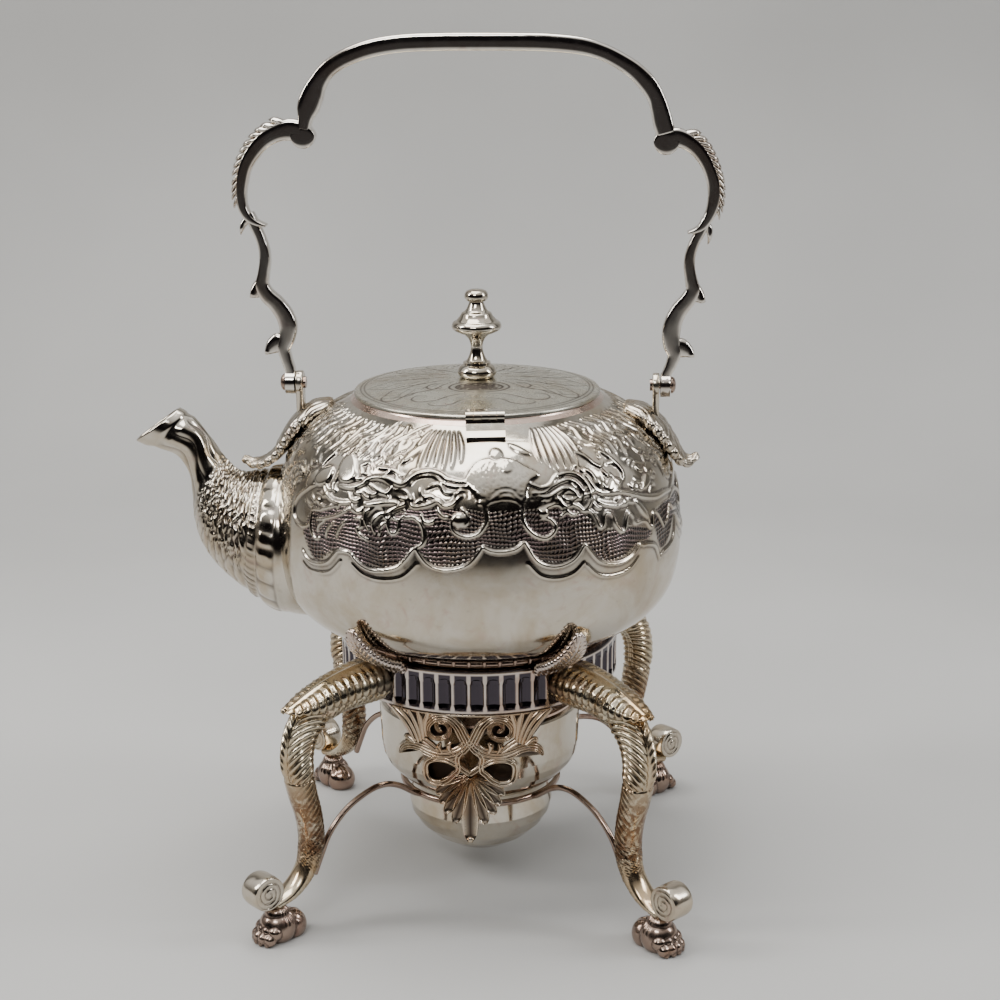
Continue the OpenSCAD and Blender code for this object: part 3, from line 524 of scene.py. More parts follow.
# the chased shoulder of the kettle: across is degrees round times 1.5 and down is millimetres from the neck
bellyLine = [(56.6, 226), (67.4, 220.8), (76.4, 214.4), (83.6, 205.4), (88.2, 194), (91.1, 180), (92, 167),
             (91.2, 154), (87.6, 141.4), (79.6, 131.4), (68, 124.6), (58.6, 120.4)]
bellyCurve = smoothLine(bellyLine, 0.8)
bellyLengths = lengthsOf(bellyCurve)
chasing = {
    "reach": 80.0,
    "wall": 1.2,
    # heavy raised lines: half width, height, then across and down for each point
    "ridges": [ (1.2, 0.9, [181, 0, 182.5, 6, 184.5, 12, 188, 17, 191, 21, 194, 25, 196, 29, 195, 36]), (1.1,
     0.8, [202.5, 9, 202, 14, 203, 19, 204.5, 25, 207, 29, 208.5, 33]), (1.3, 0.9, [158, 0.5, 163, 4, 168, 9,
     172, 12.5, 174.5, 16, 176, 20]), (0.9, 0.6, [179.5, 25, 178.5, 22.5, 176.5, 21.5, 174.5, 22.5, 174,
     25.5]), (0.8, 0.6, [170, 25, 168.5, 22, 166, 21, 164.5, 23.5]), (0.9, 0.7, [176, 27.5, 171, 27.5, 167,
     28, 165, 29.5, 164, 32, 161.5, 32.5, 160, 30.5, 158.5, 27.5, 155.5, 26]), (1.2, 0.9, [193, 38, 186, 38,
     181, 36, 178.5, 33.5, 174.5, 32, 168.5, 32, 164, 33.5, 161, 33.5, 158, 30, 155, 28, 150, 27, 145.5, 28,
     142, 30, 137, 31, 132, 31, 128.5, 29.5]), (0.8, 0.5, [158, 33.5, 156, 30.5, 152, 29, 147.5, 29, 144,
     31.5, 139, 33, 133, 33, 129, 31.5]), (1, 0.7, [157.5, 38, 155.5, 42.5, 151, 42, 148, 41, 145, 39.5,
     142.5, 41.5, 139.5, 41, 137, 38.5, 135.5, 37]), (0.9, 0.6, [139, 47.5, 138.5, 51, 136.5, 53, 133, 54,
     129, 53, 126.5, 50.5, 125, 47, 125.5, 42.5, 127.5, 39, 129.5, 36.5]), (0.8, 0.5, [137, 50.5, 135.5,
     49.5, 133.5, 49, 132.5, 46.5, 133.5, 44, 135, 42.5]), (0.9, 0.6, [158.5, 47.5, 154.5, 47, 151.5, 49,
     150, 52.5, 150, 57, 153, 59.5, 155.5, 61]), (1.2, 0.8, [177, 44, 172, 43, 167, 42, 162.5, 41.5]), (0.8,
     0.6, [179.5, 33.5, 175, 32.5, 169.5, 33, 166, 35, 168, 38, 173, 37, 178, 34.5]), (0.7, 0.5, [164.5, 36,
     160.5, 36, 158, 38, 159, 41.5, 162.5, 43.5, 166.5, 46.5, 168.5, 49]), (0.7, 0.5, [159, 44, 163, 46,
     165.5, 49, 165, 52.5, 163, 54.5, 161, 52.5, 160.5, 48.5, 158, 45.5]), (0.7, 0.5, [168.5, 44.5, 173.5,
     45, 176.5, 47.5, 176, 51, 173.5, 54.5]), (0.7, 0.45, [167, 46, 170.5, 48, 172.5, 51.5, 171, 55.5]),
     (0.7, 0.45, [165.5, 49.5, 168.5, 52, 169, 56]), (0.8, 0.6, [181.5, 50.5, 178.5, 50, 177.5, 53, 179.5,
     54.5, 177.5, 57, 174, 58.5]), (0.9, 0.7, [206.5, 40, 212, 43, 217.5, 47, 220.5, 51, 221, 55.5, 218, 59,
     212.5, 60, 208, 58.5, 206.5, 56]), (0.9, 0.6, [202.5, 40, 199.5, 43, 194.5, 45, 189.5, 45, 184, 44]),
     (0.8, 0.6, [207.5, 51.5, 200.5, 50, 195.5, 48, 190, 46]), (0.8, 0.55, [203, 55, 196.5, 53, 190.5, 50.5,
     184.5, 46.5]), (0.8, 0.6, [206.5, 52, 206.5, 57, 205, 61, 202, 63, 199.5, 62]), (0.7, 0.5, [201.5, 60,
     200.5, 56.5, 197.5, 54.5]), (0.7, 0.5, [196, 61, 195, 57, 192, 53.5]), (0.7, 0.5, [190, 60, 188.5, 55.5,
     185.5, 52]), (1, 0.7, [106.5, 32.5, 104.5, 33.5, 101, 35, 97, 34, 93.5, 31, 89, 30, 85, 30.5, 82, 32.5,
     80, 35.5, 79, 39, 79.5, 43, 81.5, 45.5, 84.5, 46.5]), (0.9, 0.6, [105, 37, 100, 37, 96, 35, 92, 33.5,
     88, 33, 85, 34.5, 83, 37.5, 82.5, 41, 84, 43]), (1, 0.7, [103.5, 38.5, 98.5, 39, 95.5, 38, 91.5, 36.5,
     88, 37, 86, 39, 85.5, 41.5]), (0.8, 0.6, [103.5, 44, 100, 43.5, 97, 42.5, 95, 40.5, 94, 42.5, 91.5, 44,
     88.5, 43.5, 86.5, 44.5, 84.5, 46.5]), (0.9, 0.65, [103, 47.5, 100, 48, 98, 49.5, 97, 52, 98.5, 54.5,
     101.5, 56, 105, 55, 108, 52.5, 110, 49, 110.5, 45.5, 110, 42]), (0.7, 0.5, [84, 31, 80, 29, 77, 30.5,
     75, 33.5, 75, 37, 73, 39, 71, 37.5, 70, 35]), (0.7, 0.5, [80.5, 31.5, 78.5, 33, 77.5, 36, 76, 38.5, 73,
     40]), (0.9, 0.7, [84.5, 46.5, 80.5, 47.5, 78.5, 51, 77, 55, 75, 54, 74, 50.5, 72.5, 49.5, 70, 51, 69,
     55, 66.5, 58.5, 64, 58, 62.5, 54.5, 60.5, 52, 58.5, 54, 57.5, 57, 54, 57, 50.5, 58, 48, 61, 46, 61, 45,
     57.5, 43.5, 55.5, 40.5, 57, 37.5, 61.5, 36, 64]), (0.8, 0.6, [34.5, 63, 31.5, 61.5, 28.5, 57.5, 26.5,
     56.5, 23.5, 59, 18, 60]), (1.3, 0.8, [75, 40.5, 68, 41.5, 60, 43, 50, 47, 40, 49.5, 30, 50, 22, 51]),
     (0.9, 0.6, [76, 44, 72.5, 46, 66, 47.5, 60.5, 47, 55, 48.5]), (0.8, 0.6, [55, 46, 52.5, 50, 49, 54.5,
     47.5, 59]), (0.8, 0.6, [76.5, 10.5, 73.5, 13.5, 71, 18]), (1, 0.7, [79.5, 20.5, 75.5, 23.5, 72, 28.5]),
     (1, 0.7, [67.5, 22, 63.5, 24.5, 60.5, 29, 58, 34, 59, 37.5]), (0.9, 0.6, [60, 10, 57, 12, 54.5, 16]),
     (0.9, 0.6, [49.5, 19, 47, 17, 45, 16]), (0.8, 0.6, [38.5, 18.5, 35, 17, 32, 18]), (0.8, 0.5, [49.5,
     33.5, 46, 32.5, 43, 34, 40, 34.5, 38, 31, 35.5, 32, 33, 34]), (0.8, 0.5, [31, 35, 28.5, 36, 27, 39,
     25.5, 44]), (0.9, 0.6, [45, 7, 38, 12, 30, 9]), (1, 0.7, [24, 51, 16, 47.5, 8, 45, 0, 44]), (0.8, 0.6,
     [26, 54, 18, 52, 10, 54, 6, 58, 9, 61, 13, 59]), (0.8, 0.6, [0, 49, 5, 51, 7, 55, 4, 58, 0, 59]), ],
    # raised leaves with rounded edges: height, edge, outline
    "leaves": [ (0.8, 1.4, [156, 12.5, 160, 15, 163.5, 19.5, 165, 25, 161.5, 23, 157.5, 18.5, 155, 14]),
     (0.7, 1.2, [113, 12.5, 109, 13.5, 105.5, 16, 102, 19.5, 106.5, 19, 110.5, 16.5]), (0.8, 1.3, [50.5,
     44.5, 47.5, 41, 43.5, 38.5, 40, 39, 41, 42.5, 45, 44.5]), (0.6, 2, [135, 31, 131, 24, 126, 20.5, 119,
     20, 112, 21, 106, 25, 101, 29, 106, 33, 108.5, 40, 110.5, 42.5, 113, 40.5, 118, 39.5, 123, 40.5, 126,
     42, 129, 37.5]), (0.9, 1.6, [197, 25, 192, 24, 188, 27, 185, 33, 188, 36.5, 193, 36.5, 196.5, 32]),
     (0.8, 1.6, [207, 33, 202, 31, 199, 33, 200, 38, 206, 41, 210, 38]), (0.6, 1.2, [171, 12, 166, 10.5, 163,
     14, 167, 19, 172, 19.5]), (0.7, 1.4, [71, 40, 66, 36, 61, 37, 62, 41, 67, 42.5]), (0.7, 1.3, [215, 36,
     211, 34.5, 208.5, 37, 210, 42, 215, 43]), (0.8, 1.4, [56, 47, 52.5, 48.5, 49.5, 53, 49, 57.5, 52.5,
     54.5, 55, 50.5]), ],
    "bosses": [(136, 47, 3, 1.1), (119.5, 18, 3.4, 0.8), (115.5, 25.5, 3.8, 1), (122, 24.5, 2.8, 0.7),
     (203.5, 46.5, 1.7, 0.7), (157, 39.5, 1.6, 0.6), (101.5, 45.5, 2.1, 0.9), (73.5, 36.5, 2.2, 0.8), (109,
     38.5, 1.6, 0.6), (127.5, 40, 1.5, 0.6)],
    "grooves": [ (0.7, 0.5, [122.5, 20, 120, 21.5, 117, 20.5]), (0.6, 0.4, [118, 27, 115.5, 28, 113, 27]),
     (0.6, 0.4, [123.5, 38.5, 121, 35.5, 117, 34.5, 113.5, 35.5, 111, 38.5]), (0.5, 0.35, [121, 39, 119, 37,
     117, 36.5, 114.5, 37, 113, 39]), (0.6, 0.4, [200.5, 20, 197, 22, 192.5, 21.5, 189, 23]), (0.6, 0.4,
     [176.5, 13, 178.5, 16, 180.5, 21]), ],
    # the scalloped border and the line under it: both cusps with the lowest point between them
    "border": [(211, 70.5, 203, 74, 189, 66), (189, 66, 184, 65, 180.5, 67), (180.5, 67, 170, 71, 154, 60),
     (153, 60, 141, 68, 126.5, 58), (126.5, 58.5, 119, 60.5, 110.5, 57), (110, 57.5, 98, 68.5, 85, 61),
     (84.5, 61, 69, 72, 55.5, 66.5), (55.5, 66.5, 50, 68, 41, 77), (41, 77, 32, 74, 22, 63), (22, 63, 0, 73,
     -22, 63)],
    "underBorder": [(211, 75.5, 203, 78, 187, 69.5), (181, 70, 168, 74.5, 152.5, 66), (109, 66, 97, 73.5,
     85.5, 68.5), (84.5, 69.5, 70, 77, 56.5, 72), (21, 68, 0, 77, -21, 68)],
    # fans of blades: middle, top, bottom, how many, how wide
    "fans": [(148, 4, 27, 7, 24), (88, 4, 28, 7, 22)],
    # waves up the sides as first, last and step; small curls; pebbles as left, right, top, bottom and how many
    "waves": (4, 268, 7.6), "curls": 210, "pebbles": ((101, 133, 20, 40, 420), (156, 183, 51, 68, 520)),
    # the hatched ground
    "sideGround": [46, 56, 41, 72, 32, 71, 22, 62, 12, 68, 0, 71, -2, 71, -2, 50, 10, 50, 24, 53, 34, 53],
    "ground": [212, 62, 205, 71, 200, 72.5, 190, 65.5, 183, 65, 176, 69, 166, 69.5, 159, 66, 154, 60, 150,
     63, 144, 66.5, 137, 66, 131, 63.5, 127, 58.5, 122, 59, 117, 59, 110.5, 57, 107, 63, 100, 67, 93, 66.5,
     88, 62.5, 84.5, 61, 80, 67, 73, 70.5, 64, 69.5, 56, 66, 50, 66.5, 46, 62, 58, 57.5, 76, 55, 84, 47, 97,
     43, 110, 43, 125, 43, 137, 42, 158, 43, 170, 52, 182, 46, 196, 47, 206, 50],
}


def drawChasing():
    sheet = ReliefSheet(-2, 272, -2, 82, 0.25)
    for width, height, points in chasing["ridges"]:
        sheet.ridge(pairsOf(points), width * 1.1, height * 1.3)
    for height, edge, outline in chasing["leaves"]:
        sheet.leaf(pairsOf(outline), height * 1.2, edge)
    for u, v, reach, height in chasing["bosses"]:
        sheet.boss(u, v, reach, height * 1.2)
    for width, depth, points in chasing["grooves"]:
        sheet.groove(pairsOf(points), width, depth)
    for arcs, width, height in ((chasing["border"], 0.9, 0.95), (chasing["underBorder"], 0.8, 0.6)):
        for u0, v0, u1, v1, u2, v2 in arcs:
            middle = ((u0 + u1) / 2 - (u1 - u0) * 0.1, (v0 + v1) / 2 + (v1 - v0) * 0.24)
            other = ((u1 + u2) / 2 + (u2 - u1) * 0.1, (v1 + v2) / 2 + (v1 - v2) * 0.24)
            sheet.ridge([(u0, v0), middle, (u1, v1), other, (u2, v2)], width, height, 0.25)
    maker = np.random.default_rng(11)
    # fans of pointed blades on both sides of the middle
    for middle, low, high, count, spread in chasing["fans"]:
        for k in range(count):
            side = (k - (count - 1) / 2) / count
            top, foot = middle + side * spread * 0.8, middle + side * spread * 1.15
            bottom = high - 7 * abs(side) + maker.uniform(-2, 2)
            sheet.ridge([(top, low), ((top + foot) / 2 + side * 3, (low + bottom) / 2), (foot, bottom)],
                        spread / count * 0.52, 1.0, 0.75, True)
            sheet.groove([(top + 1, low + 4), (foot + 1, bottom - 5)], 0.5, 0.25)
    # slanting wavy ridges with pearls and star cuts between them, over the sides of the upper shoulder
    for start in np.arange(*chasing["waves"]):
        lean = -1 if start > 118 else 1
        if 76 < start < 158:
            continue
        wave = maker.uniform(-1, 1, 5)
        points = [(start - lean * 2.6 * k + 1.5 * wave[k] + 1.3 * (-1) ** k, 3 + 5.8 * k + wave[4 - k])
                  for k in range(5)]
        sheet.ridge(points, 1.25, 0.8, 0.8)
        for k in range(4):
            (u, v), (far, low) = points[k], points[k + 1]
            sheet.ridge([(u, v), (u + lean * 3, v + 1.4), (far + lean * 3.6, low - 1.6)], 0.8, 0.5, 0.9)
            sheet.boss(u + lean * 4.6, v + 2.6 + maker.uniform(-1, 1), 0.9, 0.6)
            x, y = u + lean * 5, v + 5
            for a in (0, 1.05, 2.1):
                sheet.groove([(x - cos(a), y - sin(a)), (x + cos(a), y + sin(a))], 0.4, 0.3, 0)
    # small curling leaves that fill the band between the heavy lines
    for k in range(chasing["curls"]):
        u, v = maker.uniform(6, 264), maker.uniform(27, 48)
        turn, size, way = maker.uniform(-0.7, 0.7), maker.uniform(2.4, 4.6), maker.choice((-1, 1))
        if 100 < u < 134 or sheet.read(sheet.height, np.array([u]), np.array([v]))[0] > 0.5:
            continue
        path = [(size * (a - 0.5) * 1.8, way * size * 0.5 * sin(a * 3.4)) for a in (0, 0.25, 0.5, 0.75, 1, 1.15)]
        curl = [(u + x * cos(turn) - y * sin(turn), v + x * sin(turn) + y * cos(turn)) for x, y in path]
        sheet.ridge(curl, 0.85, 0.65, 0.9)
        sheet.groove([(a, b + 1.3) for a, b in curl[1:5]], 0.5, 0.35)
    # pebbles round the middle, then a stippled ground under the left leaves
    for low, high, top, bottom, count in chasing["pebbles"]:
        for k in range(count):
            u, v = maker.uniform(low, high), maker.uniform(top, bottom)
            sheet.groove([(u, v)] * 2, 0.48, 0.2, 0)
    sheet.ground(pairsOf(chasing["ground"]))
    sheet.ground(pairsOf(chasing["sideGround"]))
    sheet.hatch = np.clip(sheet.hatch - np.clip(softened(sheet.height, 2) * 3, 0, 1), 0, 1)
    return sheet


def bellyAt(down):
    return (np.interp(down, bellyLengths, bellyCurve[:, 0]), np.interp(down, bellyLengths, bellyCurve[:, 1]))


def bellyNormal(down):
    r0, z0 = bellyAt(np.clip(down - 0.6, 0, None))
    r1, z1 = bellyAt(down + 0.6)
    size = np.hypot(r1 - r0, z1 - z0)
    return -(z1 - z0) / size, (r1 - r0) / size


def chasedShoulder(name, sheet, side, columns=552, rows=150, backRows=9):
    total, hollow = sheet.finished()
    wallRows = rows + backRows

    def placeAt(across, along):
        turn = -180 + 180 * across
        step = np.round(along * wallRows)
        outer = step <= rows
        down = np.where(outer, step / rows, (wallRows - step) / (backRows - 1)) * chasing["reach"]
        u = np.abs(turn) * 1.5
        calm = np.clip((chasing["reach"] - 0.5 - down) / 2, 0, 1) * np.clip(down / 1.5, 0, 1)
        rise = np.where(outer, sheet.read(total, u, down) * calm, -chasing["wall"])
        r, z = bellyAt(down)
        nr, nz = bellyNormal(down)
        r, z = r + nr * rise, z + nz * rise
        angle = np.radians(turn)
        placed = np.stack([r * np.cos(angle), side * r * np.sin(angle), z], 1)
        marks = {"cavity": np.where(outer, sheet.read(hollow, u, down) * calm, 0),
                 "hatch": np.where(outer, sheet.read(sheet.hatch, u, down) * calm, 0),
                 "across": u, "down": down}
        return placed, marks

    return gridMesh(name, columns, wallRows, placeAt)


# the hatched ground: line spacing and sway, brown and pink line tints, the near-black cell colour that is painted
# shade, how much of the ground it covers, and the cut depth
hatching = {"lines": 1.8, "sway": 9.0, "brown": (0.22, 0.15, 0.11), "pink": (0.46, 0.31, 0.33),
            "cell": (0.018, 0.012, 0.016), "cover": 0.9, "depth": 0.0004}


def hatchPaintedShade(finish, colour, normal):
    # small cells between crossing lines, where the hatch mark is set; the cells are painted near black as shade, and
    # the hatched ground is painted darker over all
    across, down, mask = (finish.mark(name) for name in ("across", "down", "hatch"))
    sway = finish.times(finish.noise(45, 2), hatching["sway"])
    cells = finish.times(*(finish.math("ABSOLUTE", finish.math("SINE", finish.times(
        finish.math("ADD", side, sway), hatching["lines"]))) for side in (across, down)))
    hatchLineTint = finish.ramp(finish.noise(60, 3), (0.42, hatching["brown"]), (0.6, hatching["pink"]))
    # painted shade: the cells go near black between the tinted lines
    ground = finish.mix(finish.fit(cells, 0.05, 0.24), hatchLineTint, hatching["cell"])
    cut = finish.bump(finish.times(cells, mask), 0.8, hatching["depth"], normal)
    cut.node.invert = True
    return finish.mix(finish.times(mask, hatching["cover"]), colour, ground), cut


chasedSheet = drawChasing()
shoulderSilver = tarnished("chased shoulder silver", silverLook["plate"], True, hatchPaintedShade)
for name, side in (("shoulderFront", 1), ("shoulderBack", -1)):
    mesh = finished(chasedShoulder(name, chasedSheet, side), 60)
    addPiece(name, mesh, shoulderSilver, "kettle", ("kettle_body",))
print("shoulder chased")


def spunMesh(name, loops, steps=240):
    # closed outlines of radius and height, spun round the upright axis
    bm = bmesh.new()
    for loop in loops:
        verts = [bm.verts.new((r * mm, 0, z * mm)) for r, z in loop]
        edges = [bm.edges.new(pair) for pair in zip(verts, verts[1:] + verts[:1])]
        bmesh.ops.spin(bm, geom=verts + edges, cent=(0, 0, 0), axis=(0, 0, 1), angle=2 * pi, steps=steps,
                       use_merge=True)
    bmesh.ops.remove_doubles(bm, verts=bm.verts, dist=nearEnough)
    return finished(meshFrom(bm, name), 40)


def bellyLoop():
    # the plain belly below the chasing, its underside and the wall inside
    outer = [tuple(bellyAt(down)) for down in np.linspace(chasing["reach"], bellyLengths[-1], 60)]
    under = [(54.4, 118.3), (51, 115.2), (40, 112.8), (0, 112.4)]
    inner = [(0, 113.8), (40, 114.2), (50.4, 116.6), (55.4, 120.6)]
    back = [(r - nr * chasing["wall"], z - nz * chasing["wall"]) for (r, z), (nr, nz) in
            ((bellyAt(d), bellyNormal(d)) for d in np.linspace(bellyLengths[-1] - 2, chasing["reach"], 30))]
    return outer + under + inner + back


mouthFlange = [(50, 226), (56.4, 226), (56.4, 224.8), (50, 224.8)]
addPiece("lowerBelly", spunMesh("lowerBelly", [bellyLoop(), mouthFlange]), platedSilver, "kettle",
         ("kettle_body",))
print("belly spun")
# swept metal: stations are distance out, height, half thickness and half width
def fade(values, low, high):
    return np.clip((values - low) / (high - low), 0, 1)


def window(values, low, high, soft):
    return fade(values, low - soft, low + soft) * (1 - fade(values, high - soft, high + soft))


def ribsOf(phase, sharpness=0.8):
    return np.abs(np.sin(pi * phase)) ** sharpness


def sweptMesh(name, stations, around=48, gap=0.6, power=2.0, relief=None, ends=(0.5, 0.5)):
    # a bar or leaf with round ends; stations are x, z and the half sizes across the line, in its plane and out of it
    line = smoothLine(stations, gap)
    lengths = lengthsOf(line)
    way = waysOf(line)
    scale = np.ones(len(line))
    rise = np.sin(np.linspace(0, pi / 2, 6)[:-1])
    for atEnd in (0, 1):
        last = -1 if atEnd else 0
        push = ends[atEnd] * line[last, 2] * np.sqrt(1 - rise ** 2) * (1 if atEnd else -1)
        extra = np.repeat(line[last:last + 1] if last == 0 else line[-1:], 5, axis=0)
        extra[:, :2] += way[last] * push[:, None]
        order = slice(None, None, -1) if atEnd else slice(None)
        pieces = [(extra[order], line), (np.repeat(way[last][None], 5, axis=0), way), (rise[order], scale),
                  (np.full(5, lengths[last]), lengths)]
        line, way, scale, lengths = [np.concatenate(pair[::-1] if atEnd else pair) for pair in pieces]
    rows = len(line) - 1

    def placeAt(across, along):
        row = np.round(along * rows).astype(int)
        angle = 2 * pi * across
        c, s = np.cos(angle), np.sin(angle)
        up = np.sign(c) * np.abs(c) ** (2 / power) * line[row, 2] * scale[row]
        out = np.sign(s) * np.abs(s) ** (2 / power) * line[row, 3] * scale[row]
        height, cavity = np.zeros(len(row)), np.zeros(len(row))
        if relief:
            turn = np.abs(np.mod(angle + pi, 2 * pi) - pi) / pi
            height, cavity = relief(turn, lengths[row], line[row, 0], line[row, 1], angle)
            height = height * scale[row]
        lean = np.hypot(c / line[row, 2], s / line[row, 3])
        up = up + height * c / line[row, 2] / lean
        out = out + height * s / line[row, 3] / lean
        places = np.stack([line[row, 0] - way[row, 1] * up, out, line[row, 1] + way[row, 0] * up], axis=1)
        return places, {"cavity": cavity}

    return gridMesh(name, around, rows, placeAt, True)


def gathered(name, meshes, angle=0, crease=50, fill=False):
    bm = bmesh.new()
    for mesh in meshes:
        bm.from_mesh(mesh)
        bpy.data.meshes.remove(mesh)
    bmesh.ops.rotate(bm, verts=bm.verts, matrix=Matrix.Rotation(radians(angle), 3, "Z"))
    return finished(meshFrom(bm, name), crease, fill)


def ballMesh(name, centre, balls, columns, rows, floorAt=None, relief=None):
    # the outside of several overlapping balls, seen from one point inside them all
    def placeAt(across, along):
        turn, dip = 2 * pi * across, pi * (along - 0.5)
        way = np.stack([np.cos(turn) * np.cos(dip), np.sin(turn) * np.cos(dip), np.sin(dip)], axis=1)
        reach, second = np.zeros(len(turn)), np.zeros(len(turn))
        for x, y, z, r in balls:
            to = np.array([x, y, z]) - centre
            nearest = way @ to
            left = r * r - (to @ to - nearest ** 2)
            far = np.where(left > 0, nearest + np.sqrt(np.maximum(left, 0)), 0)
            second = np.maximum(second, np.minimum(reach, far))
            reach = np.maximum(reach, far)
        # where two balls meet the creases darken: tarnish with painted shade
        cavity = np.clip(1 - (reach - second) / 0.7, 0, 1) * 0.8
        if relief:
            reach = reach + relief(way)
        if floorAt is not None:
            down = (centre[2] - floorAt) / np.maximum(-way[:, 2], 0.01)
            reach = np.where(way[:, 2] < -0.01, np.minimum(reach, down), reach)
        return centre + way * reach[:, None], {"cavity": cavity}
    return gridMesh(name, columns, rows, placeAt, True)


corners = {"FrontLeft": ("front_left", -135), "FrontRight": ("front_right", -45), "BackRight": ("back_right", 45),
           "BackLeft": ("back_left", 135)}
# cabriole legs with a leaf over the knee, scroll rolls and paws
leg = {
    "line": [(58, 106.4, 8.2, 12.4), (70, 106, 7.9, 11.4), (84, 104.4, 7.3, 9.2), (94.4, 100.2, 6.9, 7.8),
     (101.4, 93.4, 6.7, 7.2), (104.6, 84.6, 6.5, 6.9), (104.8, 75, 6.3, 6.7), (102.8, 64, 5.9, 6.4), (100,
     53, 5.5, 6), (98.9, 42, 5.2, 5.7), (100.6, 32.4, 4.7, 5.6), (105.2, 25, 3.8, 5.6), (112.4, 19.8, 2.9,
     5.5), (121, 17.6, 2.3, 5.5)],
    "leaf": [(60, 108, 8.4, 13.2), (70, 107.8, 7.9, 12.2), (80, 107, 7.3, 10.8), (89, 105.6, 6.6, 9.6), (97,
     104.2, 5.2, 8.6), (103, 103.4, 3.6, 6.8), (107.6, 103.2, 2, 4.4), (111.6, 104.2, 0.7, 1.4)],
    # ribs of the knee, the shank and the leaf, how far they sweep, and the heights that they fill
    "ribPitch": 3.4, "shankPitch": 2.9, "leafPitch": 3.6, "swing": 15, "knee": (74, 101), "shank": (34, 76),
}


def pits(angle, x, z, size):
    return (np.sin(x * 3.1 * size + np.sin(z * 2.3 * size) * 2) * np.sin(z * 3.7 * size + np.cos(angle * 9) * 2)
            + 0.6 * np.sin(angle * 17 + z * 5.1 * size))


def legRelief(turn, s, x, z, angle):
    start = s - leg["swing"] * (1 - turn) ** 1.8
    under = fade(x, 92, 97)
    kneeRibs, shankRibs = ribsOf(start / leg["ribPitch"], 0.6), ribsOf(start / leg["shankPitch"])
    kneeAt, shankAt = window(z, *leg["knee"], 2.5) * under, window(z, *leg["shank"], 2) * under
    knee = kneeRibs * kneeAt * window(turn, 0.07, 0.92, 0.05)
    shank = shankRibs * shankAt * window(turn, 0.24, 0.97, 0.12)
    rough = pits(angle, x, z, 1.0) * (window(z, 30, 45, 3) + window(z, 16, 34, 3) * fade(turn, 0.45, 0.6)) * under
    rough += pits(angle, x, z, 0.8) * (1 - under) * 0.8
    height = 1.5 * (knee - 0.5 * (knee > 0)) + 0.6 * shank + 0.2 * rough
    # rib valleys and pits darken as tarnish with painted shade
    cavity = np.clip(1.25 - 1.9 * kneeRibs, 0, 1) * kneeAt * fade(turn, 0.04, 0.12)
    cavity += np.clip(1.15 - 2.0 * shankRibs, 0, 1) * shankAt * fade(turn, 0.2, 0.45)
    cavity += np.clip(-rough * 0.8, 0, 0.8)
    return height, np.clip(cavity, 0, 0.9)


def leafRelief(turn, s, x, z, angle):
    notch = np.abs(np.mod(s / leg["leafPitch"], 1) - 0.5) * 2
    edge = 0.58 + 0.10 * notch - 0.16 * fade(s, 38, 52)
    phase = (s - 6 * turn ** 1.5) / leg["leafPitch"]
    ribs = ribsOf(phase, 0.7) * window(turn, 0.12, 0.62, 0.06)
    vein = 0.5 * (1 - fade(turn, 0.0, 0.07))
    beads = ribsOf(s / 2.1, 1.2) * window(turn, 0.27, 0.33, 0.03) * window(s, 16, 40, 4)
    inside = 1 - fade(turn, edge - 0.01, edge + 0.03)
    height = (ribs + vein + 0.5 * beads) * inside - 2.6 * (1 - inside)
    # the rib valleys darken as tarnish with painted shade; the edge where the leaf turns under and the start of the
    # leaf are painted shade
    cavity = np.clip(1 - 2.4 * ribsOf(phase, 0.7), 0, 1) * window(turn, 0.14, 0.6, 0.05) * 0.85
    return height, np.clip(cavity + 0.4 * window(turn, 0.5, 0.62, 0.04) + 0.5 * (1 - fade(s, 6, 14)), 0, 0.9)


roll = {"x": 125.4, "z": 24.9, "radius": 7.95, "half": 5.75, "pitch": 2.3, "drum": 0.34, "round": 0.5, "end": 0.94,
        "dome": 0.36, "rib": 0.45, "ribbed": (0.8, 6.6)}


def rollMesh(name):
    # a drum with slightly domed ends, each with a spiral rib that runs in to its middle
    def placeAt(across, along):
        turn = 2 * pi * across
        side = np.where(along < 0.5, -1.0, 1.0)
        t = np.abs(along - 0.5) * 2
        drum = t < roll["drum"]
        inward = np.where(drum, 0, fade(t, roll["drum"], 1))
        radius = np.where(drum, roll["radius"] - roll["round"] * (t / roll["drum"]) ** 4,
                          (roll["radius"] - roll["round"]) * (1 - inward))
        wide = np.where(drum, roll["half"] * t / roll["drum"] * roll["end"],
                        roll["half"] * roll["end"] + roll["dome"] * np.sin(inward * pi / 2))
        phase = radius / roll["pitch"] - turn / (2 * pi) * side
        ribAt = np.where(drum, 0, 1) * window(radius, *roll["ribbed"], 0.4)
        rib = ribsOf(phase, 0.9) * ribAt
        wide = wide + roll["rib"] * rib - roll["rib"] * ribAt
        # the valleys of the spiral rib darken: tarnish with painted shade
        cavity = np.where(drum, 0, np.clip(1 - 2.5 * rib, 0, 1)) * window(radius, 1, 6.4, 0.5) * 0.8
        places = np.stack([roll["x"] + radius * np.cos(turn), wide * side, roll["z"] + radius * np.sin(turn)], axis=1)
        return places, {"cavity": cavity}
    return gridMesh(name, 72, 92, placeAt, True)


paw = {"centre": (118.2, 0, 5.2), "toes": (-1.5, -0.5, 0.5, 1.5), "fur": 0.22, "hairs": 22}


def pawBalls():
    balls = [(111.6, 0, 4.4, 7.2), (118.2, 0, 5.8, 8.4), (118.6, 0, 11, 5.6)]
    for k in paw["toes"]:
        tip = 127.4 - abs(k) * 1.2
        balls += [(tip, k * 3.1, 2.9, 2.9), (tip - 2.6, k * 3.2, 5.4, 3.3), (tip - 5.6, k * 3, 7.6, 3.1),
                  (tip + 1.7, k * 3.1, 1.4, 1.5)]
    return balls


def pawFur(way):
    hairs = paw["fur"] * np.sin(np.arctan2(way[:, 1], way[:, 0]) * paw["hairs"])
    return hairs * fade(way[:, 2], 0.1, 0.5) * fade(-way[:, 0], -0.4, 0.2)


